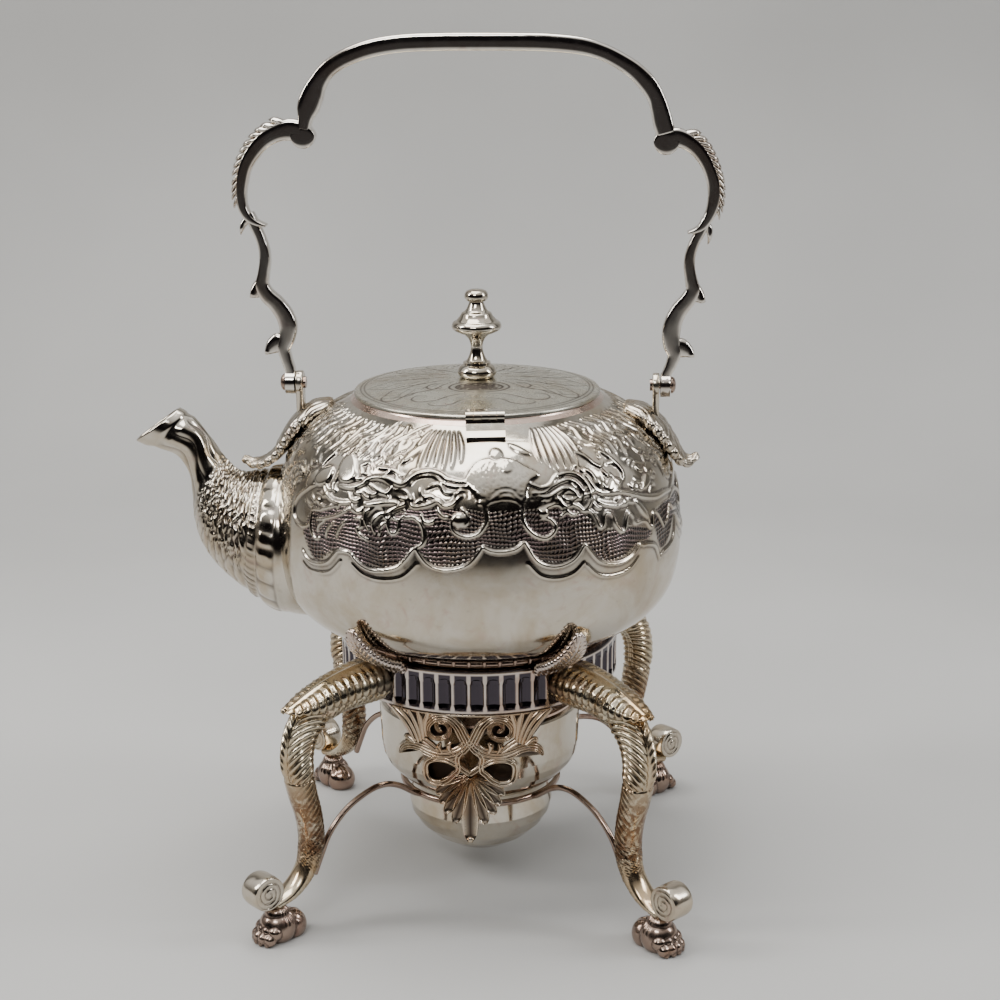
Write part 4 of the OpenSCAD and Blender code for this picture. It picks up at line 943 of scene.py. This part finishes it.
wire = {
    "line": [(97.5, 24), (93.6, 32), (89.6, 39.6), (84.6, 45.2), (78.4, 49.8), (71, 53), (63, 54.9), (55.4,
     54.4), (48.6, 51.6), (43, 47.8), (39.4, 45.4), (37, 44.2)],
    "radius": 1.4
}
for side, (corner, angle) in corners.items():
    legMesh = sweptMesh("leg", leg["line"], 96, 0.42, 2.1, legRelief, (0.1, 0.1))
    leafMesh = sweptMesh("leaf", leg["leaf"], 96, 0.5, 2.0, leafRelief, (0.1, 0.6))
    addPiece("leg" + side, gathered("leg", [legMesh, leafMesh], angle, 70), legSilver, "stand",
             ["leg_" + corner])
    addPiece("roll" + side, gathered("roll", [rollMesh("roll")], angle), carvedSilver, "stand",
             ["scroll_" + corner])
    pawMesh = ballMesh("paw", np.array(paw["centre"]), pawBalls(), 112, 80, 0, pawFur)
    addPiece("paw" + side, gathered("paw", [pawMesh], angle, 70), darkCarved, "stand",
             ["paw_" + corner])
    wireMesh = sweptMesh("wire", [(x, z, wire["radius"], wire["radius"]) for x, z in wire["line"]], 20, 1.2)
    addPiece("wire" + side, gathered("wire", [wireMesh], angle), darkenedSilver, "stand",
             ["wire_" + corner])
print("legs, rolls, paws and wires shaped")
# the bail handle: arch, C-scrolls with a leafy back, lower scrolls with cusps, and tongues
handle = {
    "depth": 3.5,
    "power": 4.5,
    "pivot": (83.9, 232),
    "tongue": 4.6,
    "arch": [(-74.4, 344.6, 2.9), (-73.5, 348.6, 3.3), (-72.3, 353, 4.8), (-70.3, 358.4, 5), (-67.4, 364.2,
     4.1), (-62.6, 370, 3.7), (-54.6, 374.8, 3.8), (-44, 378.4, 3.9), (-31, 380.4, 3.9), (-16, 381, 3.9), (0,
     381.1, 3.9), (16, 381, 3.9), (32, 380.6, 3.9), (45.6, 379.2, 3.8), (54.4, 376.8, 3.6), (61.6, 373.4,
     3.6), (68.6, 368.8, 3.8), (74.4, 363, 4), (77.8, 357.6, 3.8), (79.6, 352.4, 4.1), (81.1, 346.6, 4.4),
     (82.2, 342.6, 4.2)],
    "c": [[(76, 343.2, 4.8), (80.6, 344, 4.8), (86, 342.8, 4.1), (92, 339.5, 3.7), (97.2, 334, 3.4), (100.8,
     327.6, 2.9), (102.5, 320.6, 2.6), (102.9, 315, 2.2), (102.3, 310, 2.1), (100.2, 306.2, 1.9), (96.8,
     303.8, 1.4), (92.6, 302.5, 0.6)], [(83.6, 340, 4.4), (87.2, 340.6, 4.3), (91.4, 339.2, 3.8), (95.8,
     335.8, 3.4), (99.7, 330.4, 3), (102.3, 324.4, 2.9), (103.5, 318.6, 2.9), (103.3, 312.6, 2.7), (101.7,
     307.4, 2.4), (99, 303, 1.9), (96, 301, 1.2), (92.6, 300, 0.5)]],
    "s": [[(100, 307.6, 1.7), (97.6, 302.6, 1.7), (95, 296.4, 1.7), (93.7, 291, 1.8), (93.6, 286, 1.9),
     (94.4, 281, 2), (95.2, 276, 2.3), (93.4, 271.8, 2.6), (89.2, 267.6, 2.8), (85.8, 262.6, 3), (84.2,
     257.4, 3.1), (84.9, 252.2, 2.7), (86.4, 247.4, 2.2), (85.4, 242.4, 1.9), (84, 237.4, 1.8), (83.9, 233,
     2)], [(100.6, 305.6, 1.7), (98, 300.4, 1.7), (95.4, 295.2, 1.7), (93.8, 290, 1.8), (93.5, 285, 1.9),
     (94.3, 279.6, 2.1), (95.2, 274.6, 2.4), (93, 270.2, 2.6), (89.4, 265.6, 2.8), (87, 260.4, 3), (86.1,
     255.2, 3.1), (86.5, 250.2, 2.9), (87.6, 245.8, 2.3), (86.3, 241.4, 1.9), (84.4, 237.2, 1.7), (83.9, 233,
     1.9)]],
    "cusps": [[[(93.8, 273.6, 2.4), (95.6, 274.2, 4.6), (97.9, 273, 3.4), (99.8, 271.4, 1.5), (101, 270.4,
     0.3)], [(85.8, 250.2, 2.2), (88.2, 250, 4.6), (90.8, 248.8, 4), (92.9, 247, 2.6), (94.2, 245.6, 1.3),
     (95, 244.4, 0.3)], [(99.6, 306, 2), (102.2, 303.4, 1.6), (103.4, 300.6, 1), (104, 298.4, 0.3)]],
     [[(93.4, 272.8, 2.4), (95.3, 273.2, 4.6), (97.8, 271.8, 3.2), (99.8, 270, 1.4), (100.8, 269.4, 0.3)],
     [(87.2, 249, 2.2), (89.5, 249, 4.4), (91.8, 248.2, 4), (93.9, 247, 2.8), (95.6, 245.6, 1.3), (96.4,
     244.8, 0.3)], [(99.2, 305, 2), (101.6, 301.6, 1.7), (102, 298, 1), (101.4, 294.8, 0.3)]]],
    "disc": [(74.8, 341.2, 5.3), (82.6, 338.8, 5.5)],
    "lobes": 13,
    "fuller": 1.32,
}


def barStations(points, inset):
    return [(x, z, half, handle["depth"] - inset) for x, z, half in points]


def tongueMesh():
    # an upright disc with rounded edges, centred on the pivot
    x0, z0 = handle["pivot"]
    half = handle["tongue"] / 2
    line = [(x0 + off, z0, size, size) for off, size in
            ((-half, 0.6), (-half + 0.1, 5), (-1.6, 5.4), (1.6, 5.4), (half - 0.1, 5), (half, 0.6))]
    return sweptMesh("tongue", line, 40, 0.6, 2.0, None, (0.01, 0.01))


def leafyBack(points):
    # overlapping leaf lobes that stand off the outer side of the C-scroll
    line = smoothLine(points, 0.5)
    way = waysOf(line)
    lobes = []
    for k in range(handle["lobes"]):
        i = int(len(line) * (0.12 + 0.62 * k / handle["lobes"]))
        (x, z, half), (tx, tz) = line[i], way[i]
        nx, nz = -tz, tx
        reach = 2.1 - 0.08 * k
        path = [(x + nx * (half + off) + tx * on, z + nz * (half + off) + tz * on)
                for off, on in ((-1.8, -1.2), (-0.2, 1.8), (0.9, 4.2), (1.3, 5.9))]
        sizes = [(1.2, 2.8), (reach * 0.75, 3.2), (reach * 0.62, 2.8), (0.3, 1.0)]
        lobes.append(sweptMesh("lobe", [(*p, *s) for p, s in zip(path, sizes)], 20, 0.5, 2.0, None, (0.5, 0.5)))
    return lobes


archMesh = sweptMesh("arch", barStations(handle["arch"], 0), 40, 0.9, handle["power"], None, (0.1, 0.1))
addPiece("handleArch", gathered("arch", [archMesh], 0, 60), barSilver, "handle", ["handle_arch"])
for index, (side, angle) in enumerate((("Left", 180), ("Right", 0))):
    scroll = [(x, z, half * handle["fuller"]) for x, z, half in handle["s"][index]]
    parts = [sweptMesh("c", barStations(handle["c"][index], 0.15), 40, 0.7, handle["power"]),
             sweptMesh("s", barStations(scroll, 0.4), 40, 0.7, handle["power"], None, (0.1, 0.1)), tongueMesh()]
    parts += [sweptMesh("cusp", [(x, z, half, 2.6 if half > 0.5 else 0.8) for x, z, half in cusp], 24, 0.5, 3.0)
              for cusp in handle["cusps"][index]]
    x, z, radius = handle["disc"][index]
    disc = [(x - radius * cos(a), z, max(radius * sin(a), 0.2)) for a in np.linspace(0.04, pi - 0.04, 15)]
    parts.append(sweptMesh("disc", barStations(disc, 0.15), 40, 0.4, 6.0, None, (0.1, 0.1)))
    parts += leafyBack(handle["c"][index])
    addPiece("handleArm" + side, gathered("arm", parts, angle, 60), barSilver, "handle",
             ["handle_scroll_" + side.lower()])
print("handle shaped")
# the spout: an oval tube from the shoulder up to its slanted mouth, chased all over
spout = {
    "line": [(-58, 123, -64, 190, 33), (-80, 123.6, -80, 192, 36), (-92, 126.6, -90, 191.8, 33.4), (-103,
     133.2, -98.4, 189.8, 29), (-118.4, 145.6, -106, 188.3, 22.6), (-126.8, 157.1, -111, 189.6, 17.4),
     (-130.2, 169, -114, 192.4, 13.6), (-130.6, 179, -116.6, 196, 10.8), (-131.2, 188.4, -119.4, 200.4, 9),
     (-133.8, 194.7, -122.4, 205.4, 8.4), (-138, 199, -125.8, 210.4, 8.6), (-144.4, 201.3, -129.6, 214.8, 9),
     (-150.4, 202.2, -132.6, 217.6, 9.2), (-155.5, 204.4, -135.1, 219.1, 9)],
    "wall": 1.3, "lip": 0.8, "neck": 40, "collar": (28, 36.6), "beads": 27, "step": 0.77, "around": 168,
}


def spoutRelief(turn, s, total):
    # turn runs from the upper line over a side to the lower line, s from the root to the mouth
    neckStart = total - spout["neck"]
    body = fade(s, 42, 44) * (1 - fade(s, neckStart, neckStart + 6))
    low = fade(turn, 0.60, 0.72)
    # pebbles above, feathers below and flats on the neck
    cell = (np.abs(np.sin(s * 0.95 + 1.5 * np.sin(turn * 27) + 0.8 * np.sin(turn * 61)))
            * np.abs(np.sin(turn * 30 + 1.4 * np.sin(s * 0.7) + 0.7 * np.sin(s * 1.8))))
    pebbles = 1.3 * np.clip(cell * 1.5, 0, 1) ** 0.7 * body * (1 - low)
    feather = 0.7 * ribsOf((s + 22 * turn) / 4.2 + 0.15 * np.sin(turn * 30), 0.7) * body * low
    fine = 0.15 * np.sin(s * 3.1 + np.sin(turn * 60)) * np.sin(turn * 90) * body
    neck = fade(s, neckStart, neckStart + 8) * (1 - fade(s, total - 9, total - 6))
    flats = 0.9 * np.abs(np.sin(turn * pi * 3.5 + 0.05 * s + 0.5 * np.sin(s * 0.35))) * neck
    crest = 0.9 * (1 - fade(turn, 0.0, 0.05)) * window(s, 34, total - 30, 4)
    # the collar at the root: ovals between two rims, then a row of beads
    collar = window(s, *spout["collar"], 0.5)
    oval = np.abs(np.sin(turn * 34 + 0.5 * np.sin(turn * 13))) * np.abs(np.sin((s - 27.5) * pi / 9.5)) * collar
    beads = ribsOf(turn * spout["beads"])
    root = 0.5 * window(s, 26, 36, 1) + 0.9 * beads * window(s, 38.4, 41.4, 0.5)
    root += 0.9 * np.clip(oval * 1.5, 0, 1) ** 0.7
    # the hollows of the relief darken: tarnish with painted shade
    cavity = np.clip(1 - 2.6 * cell, 0, 1) * body * (1 - low) + np.clip(1 - 2.4 * feather, 0, 1) * body * low * 0.6
    cavity += 0.5 * np.clip(1 - 2.2 * flats, 0, 1) * neck + 0.85 * (1 - beads) * window(s, 37.2, 42.4, 0.5)
    cavity += 0.8 * np.clip(1 - 2.8 * oval, 0, 1) * collar
    rim = 0.35 * window(s, total - 4.5, total + 9, 0.6)
    return pebbles + feather + fine + flats + crest + root + rim, np.clip(cavity, 0, 0.88)


def spoutPlace():
    # rows run along the outside, over the lip and back down the inside
    lines = smoothLine(spout["line"], spout["step"], 4)
    middle = (lines[:, 0:2] + lines[:, 2:4]) / 2
    lengths = lengthsOf(middle)
    total = lengths[-1]
    count = len(lines)
    turnIn, inner = 5, int(count * 0.75)
    rows = count + turnIn + inner - 1

    def placeAt(across, along):
        row = np.round(along * rows).astype(int)
        inside = row >= count + turnIn
        source = np.where(row < count, row, np.where(inside, count - 1 - (row - count - turnIn), count - 1))
        q = lines[np.clip(source, 0, count - 1)]
        angle = 2 * pi * across
        bend = np.clip((row - count + 1) / (turnIn + 1), 0, 1) * pi
        turn = np.abs(np.mod(angle + pi, 2 * pi) - pi) / pi
        height, cavity = spoutRelief(turn, lengths[np.clip(source, 0, count - 1)], total)
        outer = row < count
        inset = np.where(inside, spout["wall"], np.where(outer, 0, spout["wall"] * (1 - np.cos(bend)) / 2))
        lift = np.where(outer | inside, 0, spout["lip"] * np.sin(bend))
        height = np.where(outer, height, np.where(inside, 0, 0.35 * (1 - bend / pi)))
        centre, half = (q[:, 0:2] + q[:, 2:4]) / 2, (q[:, 2:4] - q[:, 0:2]) / 2
        size = np.linalg.norm(half, axis=1)
        way = np.stack([-half[:, 1], half[:, 0]], axis=1) / size[:, None]
        grow = (size - inset + height) / size
        place = centre + half * (grow * np.cos(angle))[:, None] + way * lift[:, None]
        # the outside keeps its relief's dark hollows; the whole inside of the spout is painted shade
        return (np.stack([place[:, 0], (q[:, 4] - inset + height) * np.sin(angle), place[:, 1]], axis=1),
                {"cavity": np.where(outer, cavity, np.where(inside, 0.6, 0))})
    return rows, placeAt


spoutRowCount, placeSpout = spoutPlace()
spoutMesh = finished(gridMesh("spout", spout["around"], spoutRowCount, placeSpout, True), 70)
addPiece("spoutChased", spoutMesh, chasedSilver, "kettle", ["spout"])
print("spout shaped")
# leaf clips that clasp the kettle, and the leaf mounts that carry the handle's lugs
clip = {
    "line": [(62.9, 115.8, 1.5, 4.6), (66.6, 119.6, 1.6, 5.4), (73.6, 122.8, 1.7, 5.8), (81.8, 128, 1.6,
     5.2), (88.4, 134.6, 1.4, 3.8), (92.4, 141.8, 0.8, 1.1)],
    "sides": {"front_left": -121.5, "front_right": -58.5, "back_right": 58.5, "back_left": 121.5},
    "pitch": 2.7
}


def clipRelief(turn, s, x, z, angle):
    side = np.abs(np.sin(angle))
    phase = (s - 5 * side) / clip["pitch"]
    ribs = ribsOf(phase, 0.7) * fade(side, 0.12, 0.3)
    vein = 1 - fade(side, 0.0, 0.22)
    notch = 1.1 * ribsOf(phase, 1.0) * fade(side, 0.75, 1.0)
    # the valleys between the ribs darken: tarnish with painted shade
    cavity = np.clip(1 - 2.2 * ribs, 0, 1) * fade(side, 0.15, 0.35) * 0.85
    return (0.75 * ribs + 0.9 * vein) * (turn > 0.5) + notch + 0.6 * ribs * (turn <= 0.5), cavity


for side, (corner, angle) in corners.items():
    clipMesh = sweptMesh("clip", clip["line"], 64, 0.35, 2.4, clipRelief, (0.5, 0.8))
    addPiece("clip" + side, gathered("clip", [clipMesh], clip["sides"][corner], 70), darkLeaf, "stand",
             ["clip_" + corner])

mountLeaf = {
    "line": [(66, 221.6, 2.6, 8), (73, 219.8, 3.6, 11), (80.4, 214, 3.8, 13), (86, 206.4, 3.4, 12.4), (90,
     200.4, 2.6, 10)],
    "tips": {"Left": [(96.4, 195.4, 2, 7.4), (102.6, 194.4, 1.4, 4.4), (107, 196.6, 0.8, 1.6)], "Right":
     [(93.4, 197.6, 2, 7.4), (96.6, 198.2, 1.4, 4.4), (99, 200.2, 0.8, 1.6)]},
    "pitch": 5.4, "lugX": (78.3, 81.3), "lugWide": 4.2, "lugFoot": 212, "pivot": 232, "eye": 5.4, "eyeFrom": -0.66,
    "shoulder": 3.4, "bevel": 0.5,
}


def mountRelief(turn, s, x, z, angle):
    # long strokes that sweep back from the leaf's vein to its notched edge
    side = np.abs(np.sin(angle))
    phase = (s - 26 * turn + 1.2 * np.sin(s * 0.6)) / mountLeaf["pitch"]
    strokes = ribsOf(phase, 0.6) * fade(turn, 0.05, 0.12) * (turn < 0.62)
    fine = ribsOf(phase * 3, 1.0) * fade(turn, 0.05, 0.12)
    vein = 1 - fade(turn, 0.0, 0.05)
    notch = 1.1 * ribsOf((s - 3 * turn) / 4.4, 0.7) * fade(side, 0.78, 1.0)
    # the valleys between the strokes darken: tarnish with painted shade
    cavity = (np.clip(1 - 2.4 * strokes, 0, 1) * fade(turn, 0.08, 0.16) * 0.8 + 0.25 * (1 - fine)) * (turn < 0.6)
    return 0.5 * strokes + 0.14 * fine + 0.5 * vein + notch * fade(s, 8, 14), np.clip(cavity, 0, 0.85)


def lugMesh():
    # an upright strap with a round eye, bevelled all round; the rivet goes straight through it
    bm = bmesh.new()
    wide, foot, top = mountLeaf["lugWide"], mountLeaf["lugFoot"], mountLeaf["pivot"]
    start = mountLeaf["eyeFrom"]
    eye = [(mountLeaf["eye"] * cos(a), top + mountLeaf["eye"] * sin(a)) for a in np.linspace(start, pi - start, 30)]
    neck = top - mountLeaf["shoulder"]
    outline = [(-wide, foot), (wide, foot), (wide, neck), *eye, (-wide, neck)]
    x0, x1 = mountLeaf["lugX"]
    face = bm.faces.new([bm.verts.new((x0 * mm, y * mm, z * mm)) for y, z in outline])
    pushed(bm, bmesh.ops.extrude_face_region(bm, geom=[face]), ((x1 - x0) * mm, 0, 0))
    rims = [e for e in bm.edges if len(e.link_faces) == 2 and e.calc_face_angle(0) > 1.2
            and len(e.link_faces[0].verts) != len(e.link_faces[1].verts)]
    bmesh.ops.bevel(bm, geom=rims, offset=mountLeaf["bevel"] * mm, affect="EDGES", segments=2, profile=0.5,
                    material=-1)
    mesh = meshFrom(bm, "lug")
    mesh.attributes.new("cavity", "FLOAT", "POINT")
    return mesh


for side, angle in (("Left", 180), ("Right", 0)):
    leafMesh = sweptMesh("leaf", mountLeaf["line"] + mountLeaf["tips"][side], 112, 0.4, 2.2, mountRelief, (0.1, 0.6))
    addPiece("mount" + side + "Leaf", gathered("mount", [leafMesh, lugMesh()], angle, 60), carvedSilver, "kettle",
             ["mount_" + side.lower()])
print("clips and mounts shaped")
# pierced aprons: fluted scroll bands, fans of ribs and a palmette of hollow lobes on a curved back
apron = {
    "back": 60.5,
    "face": 61.5,
    "rise": 1.1,
    "fuller": 1.2,
    # bands as points with half widths, and how many ribs run along each
    "bands": [ (4, [(0.6, 83.2, 2.2), (3, 88.2, 2.2), (5.2, 92.4, 2.1), (8.6, 95.4, 2), (12.8, 96.1, 1.9),
     (16.6, 94.4, 1.8), (18.9, 91, 1.6), (18.2, 87.8, 1.3), (15.6, 86, 1.1), (12.2, 86.2, 1.1), (9.6, 88, 1),
     (8.8, 90.8, 1), (10.2, 93.2, 1), (12.8, 93.6, 0.9), (14.6, 91.8, 0.9), (13.6, 90, 1), (12.3, 90.3, 1)]),
     (4, [(0.6, 84.8, 2.2), (3.6, 81.2, 2.3), (8, 78.9, 2.4), (13.4, 78, 2.4), (18.4, 79, 2.3), (22.6, 80.6,
     1.9), (27, 80.8, 1.9), (30.4, 78.8, 1.4), (31.9, 75.8, 0.5)]), (2, [(13.4, 79.6, 0.9), (16.6, 81.8,
     1.5), (20.6, 84.2, 1.7)]), (2, [(3.4, 80.6, 1.3), (5.4, 77.4, 1.3), (5, 74.2, 1.3), (2.8, 71.8, 1.3),
     (0, 70, 1.4)]), (2, [(5.2, 73.6, 1.3), (10, 75.8, 1.4), (15.4, 76, 1.5), (19.2, 73.8, 1.4), (20, 69.6,
     1.5), (18.2, 65.6, 1.5), (14.2, 64.6, 1.5), (10.2, 66.4, 1.4), (7.2, 69.4, 1.4), (5.2, 71.4, 1.3), (5,
     74.6, 1.2)]), (1, [(24.4, 83, 0.8), (25.6, 85.6, 1.3), (27.4, 89, 1.5), (30, 92.4, 1.5), (33, 95.4,
     1.4), (35.2, 97.2, 1)]), (1, [(23, 82.8, 0.8), (24, 86.4, 1.3), (26, 90.8, 1.6), (28.4, 94.2, 1.6), (31,
     97, 1.4)]), (1, [(21.8, 83.6, 0.8), (22.6, 87.4, 1.3), (24, 91.6, 1.6), (25.6, 95, 1.6), (27, 97.4,
     1.4)]), (1, [(20.6, 84.4, 0.8), (21.2, 88.4, 1.3), (21.8, 92.2, 1.5), (22.4, 95.4, 1.5), (23, 97.6,
     1.3)]), (1, [(19.4, 86.2, 0.7), (20, 90, 1.1), (19.6, 93.4, 1.3), (18.8, 96, 1.2), (18.6, 97.6, 1.1)]),
     (1, [(24.6, 82, 1), (28, 84.2, 1.2), (29.4, 82.6, 0.6)]), (1, [(8.2, 79.6, 0.8), (9.4, 82.4, 1.1), (8.2,
     84.6, 0.5)]), (1, [(12.2, 79.4, 0.7), (13.6, 82, 1), (12.8, 84, 0.4)]), ],
    # palmette lobes: angle from straight down, length, half width
    "lobes": [(0, 32.4, 3.3), (17, 24.6, 2.5), (31, 22, 2.4), (44, 19.8, 2.3), (58, 18.2, 2.2), (72, 14.5,
     1.7)],
    "centre": 69.5,
    "topBand": (35, 96.4, 98.4),
    "bead": (0, -61.8, 38.6, 1.5), "step": 0.45,
    "lobeShape": [(0.3, 0.75), (0.62, 1.2), (0.86, 1), (0.96, 0.5), (1, 0.12)],
}


def apronSheet(name, line, across, heightOf, back):
    # a strip that lies round the stand: its front is a height field and its back is flat
    lengths = lengthsOf(line)
    way = waysOf(line)
    rows = len(line) - 1

    def placeAt(acrossAt, along):
        row = np.round(along * rows).astype(int)
        front = acrossAt < 0.74
        w = np.where(front, acrossAt / 0.37 - 1, 1 - (acrossAt - 0.74) / 0.13)
        w = np.clip(w, -1, 1)
        half = line[row, 2]
        x, z = line[row, 0] - way[row, 1] * half * w, line[row, 1] + way[row, 0] * half * w
        height, cavity = heightOf(w, row / rows, lengths[row], half)
        radius = np.where(front, apron["face"] + height * np.minimum(1, half / 1.2), back)
        y = -np.sqrt(np.maximum(radius ** 2 - x ** 2, 1))
        # the flat back is painted darker all over: painted shade
        return np.stack([x, y, z], axis=1), {"cavity": np.where(front, cavity, 0.3)}

    return gridMesh(name, across, rows, placeAt, True)


def bandHeight(ribs):
    def heightOf(w, t, s, half):
        edge = np.sqrt(np.clip(1 - w ** 2, 0, 1))
        lines = ribsOf((w + 1) / 2 * ribs, 0.7)
        height = apron["rise"] * (edge ** 0.6 * 0.6 + 0.75 * lines * edge ** 0.4) - 0.5
        # the valleys between the ribs darken: tarnish with painted shade
        return height, np.clip(1.15 - 2.2 * lines, 0, 1) * 0.92
    return heightOf


def lobeHeight(w, t, s, half):
    rim = np.abs(w) ** 3 * (1 - fade(np.abs(w), 0.86, 1.0) * 0.9)
    tip = fade(t, 0.86, 1.0)
    hollow = np.clip(1 - np.abs(w) * 1.25, 0, 1) * (1 - tip)
    height = 1.7 * rim + 1.3 * tip * np.sqrt(np.clip(1 - w ** 2, 0, 1)) + 0.5 * t - 0.4
    # the hollow of each lobe darkens: tarnish with painted shade
    return height, 0.95 * hollow ** 0.6 * fade(t, 0.1, 0.3)


def beadMesh(bead):
    x, y, z, radius = bead
    bm = bmesh.new()
    bmesh.ops.create_uvsphere(bm, u_segments=24, v_segments=14, radius=radius * mm,
                              matrix=Matrix.Translation(Vector((x, y, z)) * mm))
    mesh = meshFrom(bm, "bead")
    mesh.attributes.new("cavity", "FLOAT", "POINT")
    return mesh


def apronMesh(name, angle):
    strips = []
    for mirror in (1, -1):
        for ribs, points in apron["bands"]:
            line = smoothLine(points, apron["step"]) * np.array([mirror, 1, apron["fuller"]])
            strips.append(apronSheet("band", line, 22 if ribs == 1 else 34, bandHeight(ribs), apron["back"]))
        for lean, length, half in apron["lobes"]:
            if mirror < 0 and lean == 0:
                continue
            a = radians(lean) * mirror
            widths = [(1, 1.1)] + [(length * far, half * wide) for far, wide in apron["lobeShape"]]
            line = smoothLine([(sin(a) * d, apron["centre"] - cos(a) * d, w) for d, w in widths], apron["step"])
            strips.append(apronSheet("lobe", line, 30, lobeHeight, apron["back"]))
    half, low, high = apron["topBand"]
    line = smoothLine([(x, (low + high) / 2, (high - low) / 2) for x in np.linspace(-half, half, 9)], 1.2)
    strips.append(apronSheet("top", line, 20, bandHeight(1), apron["back"]))
    strips.append(beadMesh(apron["bead"]))
    return gathered(name, strips, angle, 60, True)


for side, angle in (("Front", 0), ("Back", 180)):
    addPiece("apron" + side, apronMesh("apron", angle), apronSilver, "stand",
             ["apron_" + side.lower()])
print("aprons shaped")
# the lid with its engraving, and the turned knob
lid = {
    "radius": 55, "rise": 5.2, "edge": 1.3, "turn": 7.5, "columns": 600, "rows": 128, "rimLines": (50.4, 52),
    # half of the cartouche's lines; the other half is their mirror
    "cartouche": [
        [(0, -9), (7, -10), (12, -14), (13, -19), (9, -24), (3, -26), (0, -26)],
        [(0, -12), (6, -13), (9.6, -16), (10, -19.4), (7, -22.6), (0, -23.6)],
        [(14, -12), (20, -10), (23, -14), (21, -18), (17, -17.6), (16.6, -14.8)],
        [(2, -30), (8, -28), (14, -30), (20, -34), (27, -34), (30, -30), (28, -26), (24, -26.4), (23.6, -29.4)],
        [(3, -34), (9, -36), (13, -40), (19, -41), (23, -38), (21, -35)],
        [(16, -22), (24, -20), (31, -22), (37, -28), (42, -27), (43, -22), (40, -19), (37, -21)]],
    # petals: how many, the arc they fill in degrees, and their half widths at radii
    "petals": 11, "arc": (-28, 236),
    "petal": ((13, 1.5), (20, 4), (27, 6.4), (34, 5.4), (40, 6.2), (46, 2.6), (49, 0)),
    "dashes": 150,
    # the rim and underside as share of the radius and height over the lid's foot
    "under": [(1.0, 0.9), (1.0, 0.0), (0.97, 0.2), (0.6, 3.2), (0.2, 4.9), (0.0, 5.1)],
}
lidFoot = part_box("lid_cover")[0][2] / mm


def aroundAt(r, a):
    return r * cos(a), r * sin(a)


def drawLid():
    sheet = ReliefSheet(-57, 57, -57, 57, 0.25)
    for line in lid["cartouche"]:
        for way in (1, -1):
            sheet.groove([(way * x, y) for x, y in line], 0.6, 0.3, 0.6)
    maker = np.random.default_rng(5)
    # wavy petals with veins all round behind the cartouche
    first, arc = lid["arc"]
    for k in range(lid["petals"]):
        a = radians(first + arc * k / (lid["petals"] - 1))
        for side in (-1, 1):
            edge = [aroundAt(r, a + side * wide / r + maker.uniform(-0.02, 0.02)) for r, wide in lid["petal"]]
            sheet.groove(edge, 0.55, 0.28, 0.4)
            for m in range(4):
                r = 19 + 6.6 * m
                b = a + side * 0.02
                vein = [aroundAt(r + out, b + side * on) for out, on in ((0, 0), (4, 0.07), (7, 0.09))]
                sheet.groove(vein, 0.45, 0.2, 0.7)
        sheet.groove([aroundAt(r, a + 0.04 * sin(r * 0.5)) for r in range(14, 47, 4)], 0.45, 0.2)
    # the busy ground of the cartouche, and the double line round the rim
    for k in range(lid["dashes"]):
        b, r = maker.uniform(0, 2 * pi), maker.uniform(0, 1) ** 0.5
        x, y, c = 9 * r * cos(b), -18 + 5.4 * r * sin(b), maker.uniform(0, pi)
        sheet.groove([(x - cos(c), y - sin(c)), (x, y + 0.4), (x + cos(c), y + sin(c))], 0.45, 0.25, 0.5)
    for r in lid["rimLines"]:
        sheet.groove([aroundAt(r, b) for b in np.linspace(0, 2 * pi, 60)], 0.5, 0.22, 0)
    return sheet


def lidMesh():
    sheet = drawLid()
    cuts = softened(sheet.cut, 1)
    tail = np.array(lid["under"])
    rows = lid["rows"] + len(tail)

    def placeAt(across, along):
        row = np.round(along * rows).astype(int)
        top = row <= lid["rows"]
        after = np.clip(row - lid["rows"] - 1, 0, len(tail) - 1)
        share = np.where(top, row / lid["rows"] * 0.992, tail[after, 0])
        r = share * lid["radius"]
        a = 2 * pi * across
        x, y = r * np.cos(a), r * np.sin(a)
        dome = lid["edge"] + lid["rise"] * (1 - share ** 2)
        z = np.where(top, dome - sheet.read(cuts, x, y), tail[after, 1])
        turn = radians(lid["turn"])
        stain = 0.45 * np.exp(-((x / 12) ** 2 + ((y + 18) / 8) ** 2) ** 2)
        # the engraved cuts darken as tarnish with painted shade; the underside is painted shade
        marks = {"cavity": np.where(top, np.clip(sheet.read(cuts, x, y) * 7 + stain, 0, 0.92), 0.3)}
        return np.stack([x * cos(turn) - y * sin(turn), x * sin(turn) + y * cos(turn), lidFoot + z], axis=1), marks

    return finished(gridMesh("lid", lid["columns"], rows, placeAt, True), 50)


knob = {
    "smooth": [[(0, 0), (6.6, 0), (7.8, 0.6), (8.65, 2), (8.6, 3.4), (7.6, 5), (6.2, 5.9)], [(6.1, 6.9),
     (4.7, 7.6), (3.5, 9.8), (2.75, 12.6), (2.85, 15), (3.7, 17.4), (5.8, 19.2), (8.6, 20.5), (10.6, 21.7),
     (11.1, 22.9), (10.9, 24.1), (10.2, 25), (9, 25.6)], [(8.6, 26.2), (7.5, 27.4), (6.7, 28.9)], [(6.2,
     29.3), (5, 30.1), (4.1, 31.6), (3.4, 33.2), (3.2, 34)], [(4.4, 34.5), (5.2, 35.7), (5.2, 37.2), (4.4,
     38.6), (2.6, 39.4), (0, 39.6)]]
}
addPiece("lidEngraved", lidMesh(), engravedSilver, "lid", ["lid_cover"])
knobFoot = lidFoot + lid["rise"] + lid["edge"]
knobLine = [(r, knobFoot + z) for part in knob["smooth"] for r, z in smoothLine(part, 0.4)]
addPiece("lidKnobTurned", spunMesh("knob", [knobLine], 96), platedSilver, "lid", ["lid_knob"])
print("lid and knob shaped")
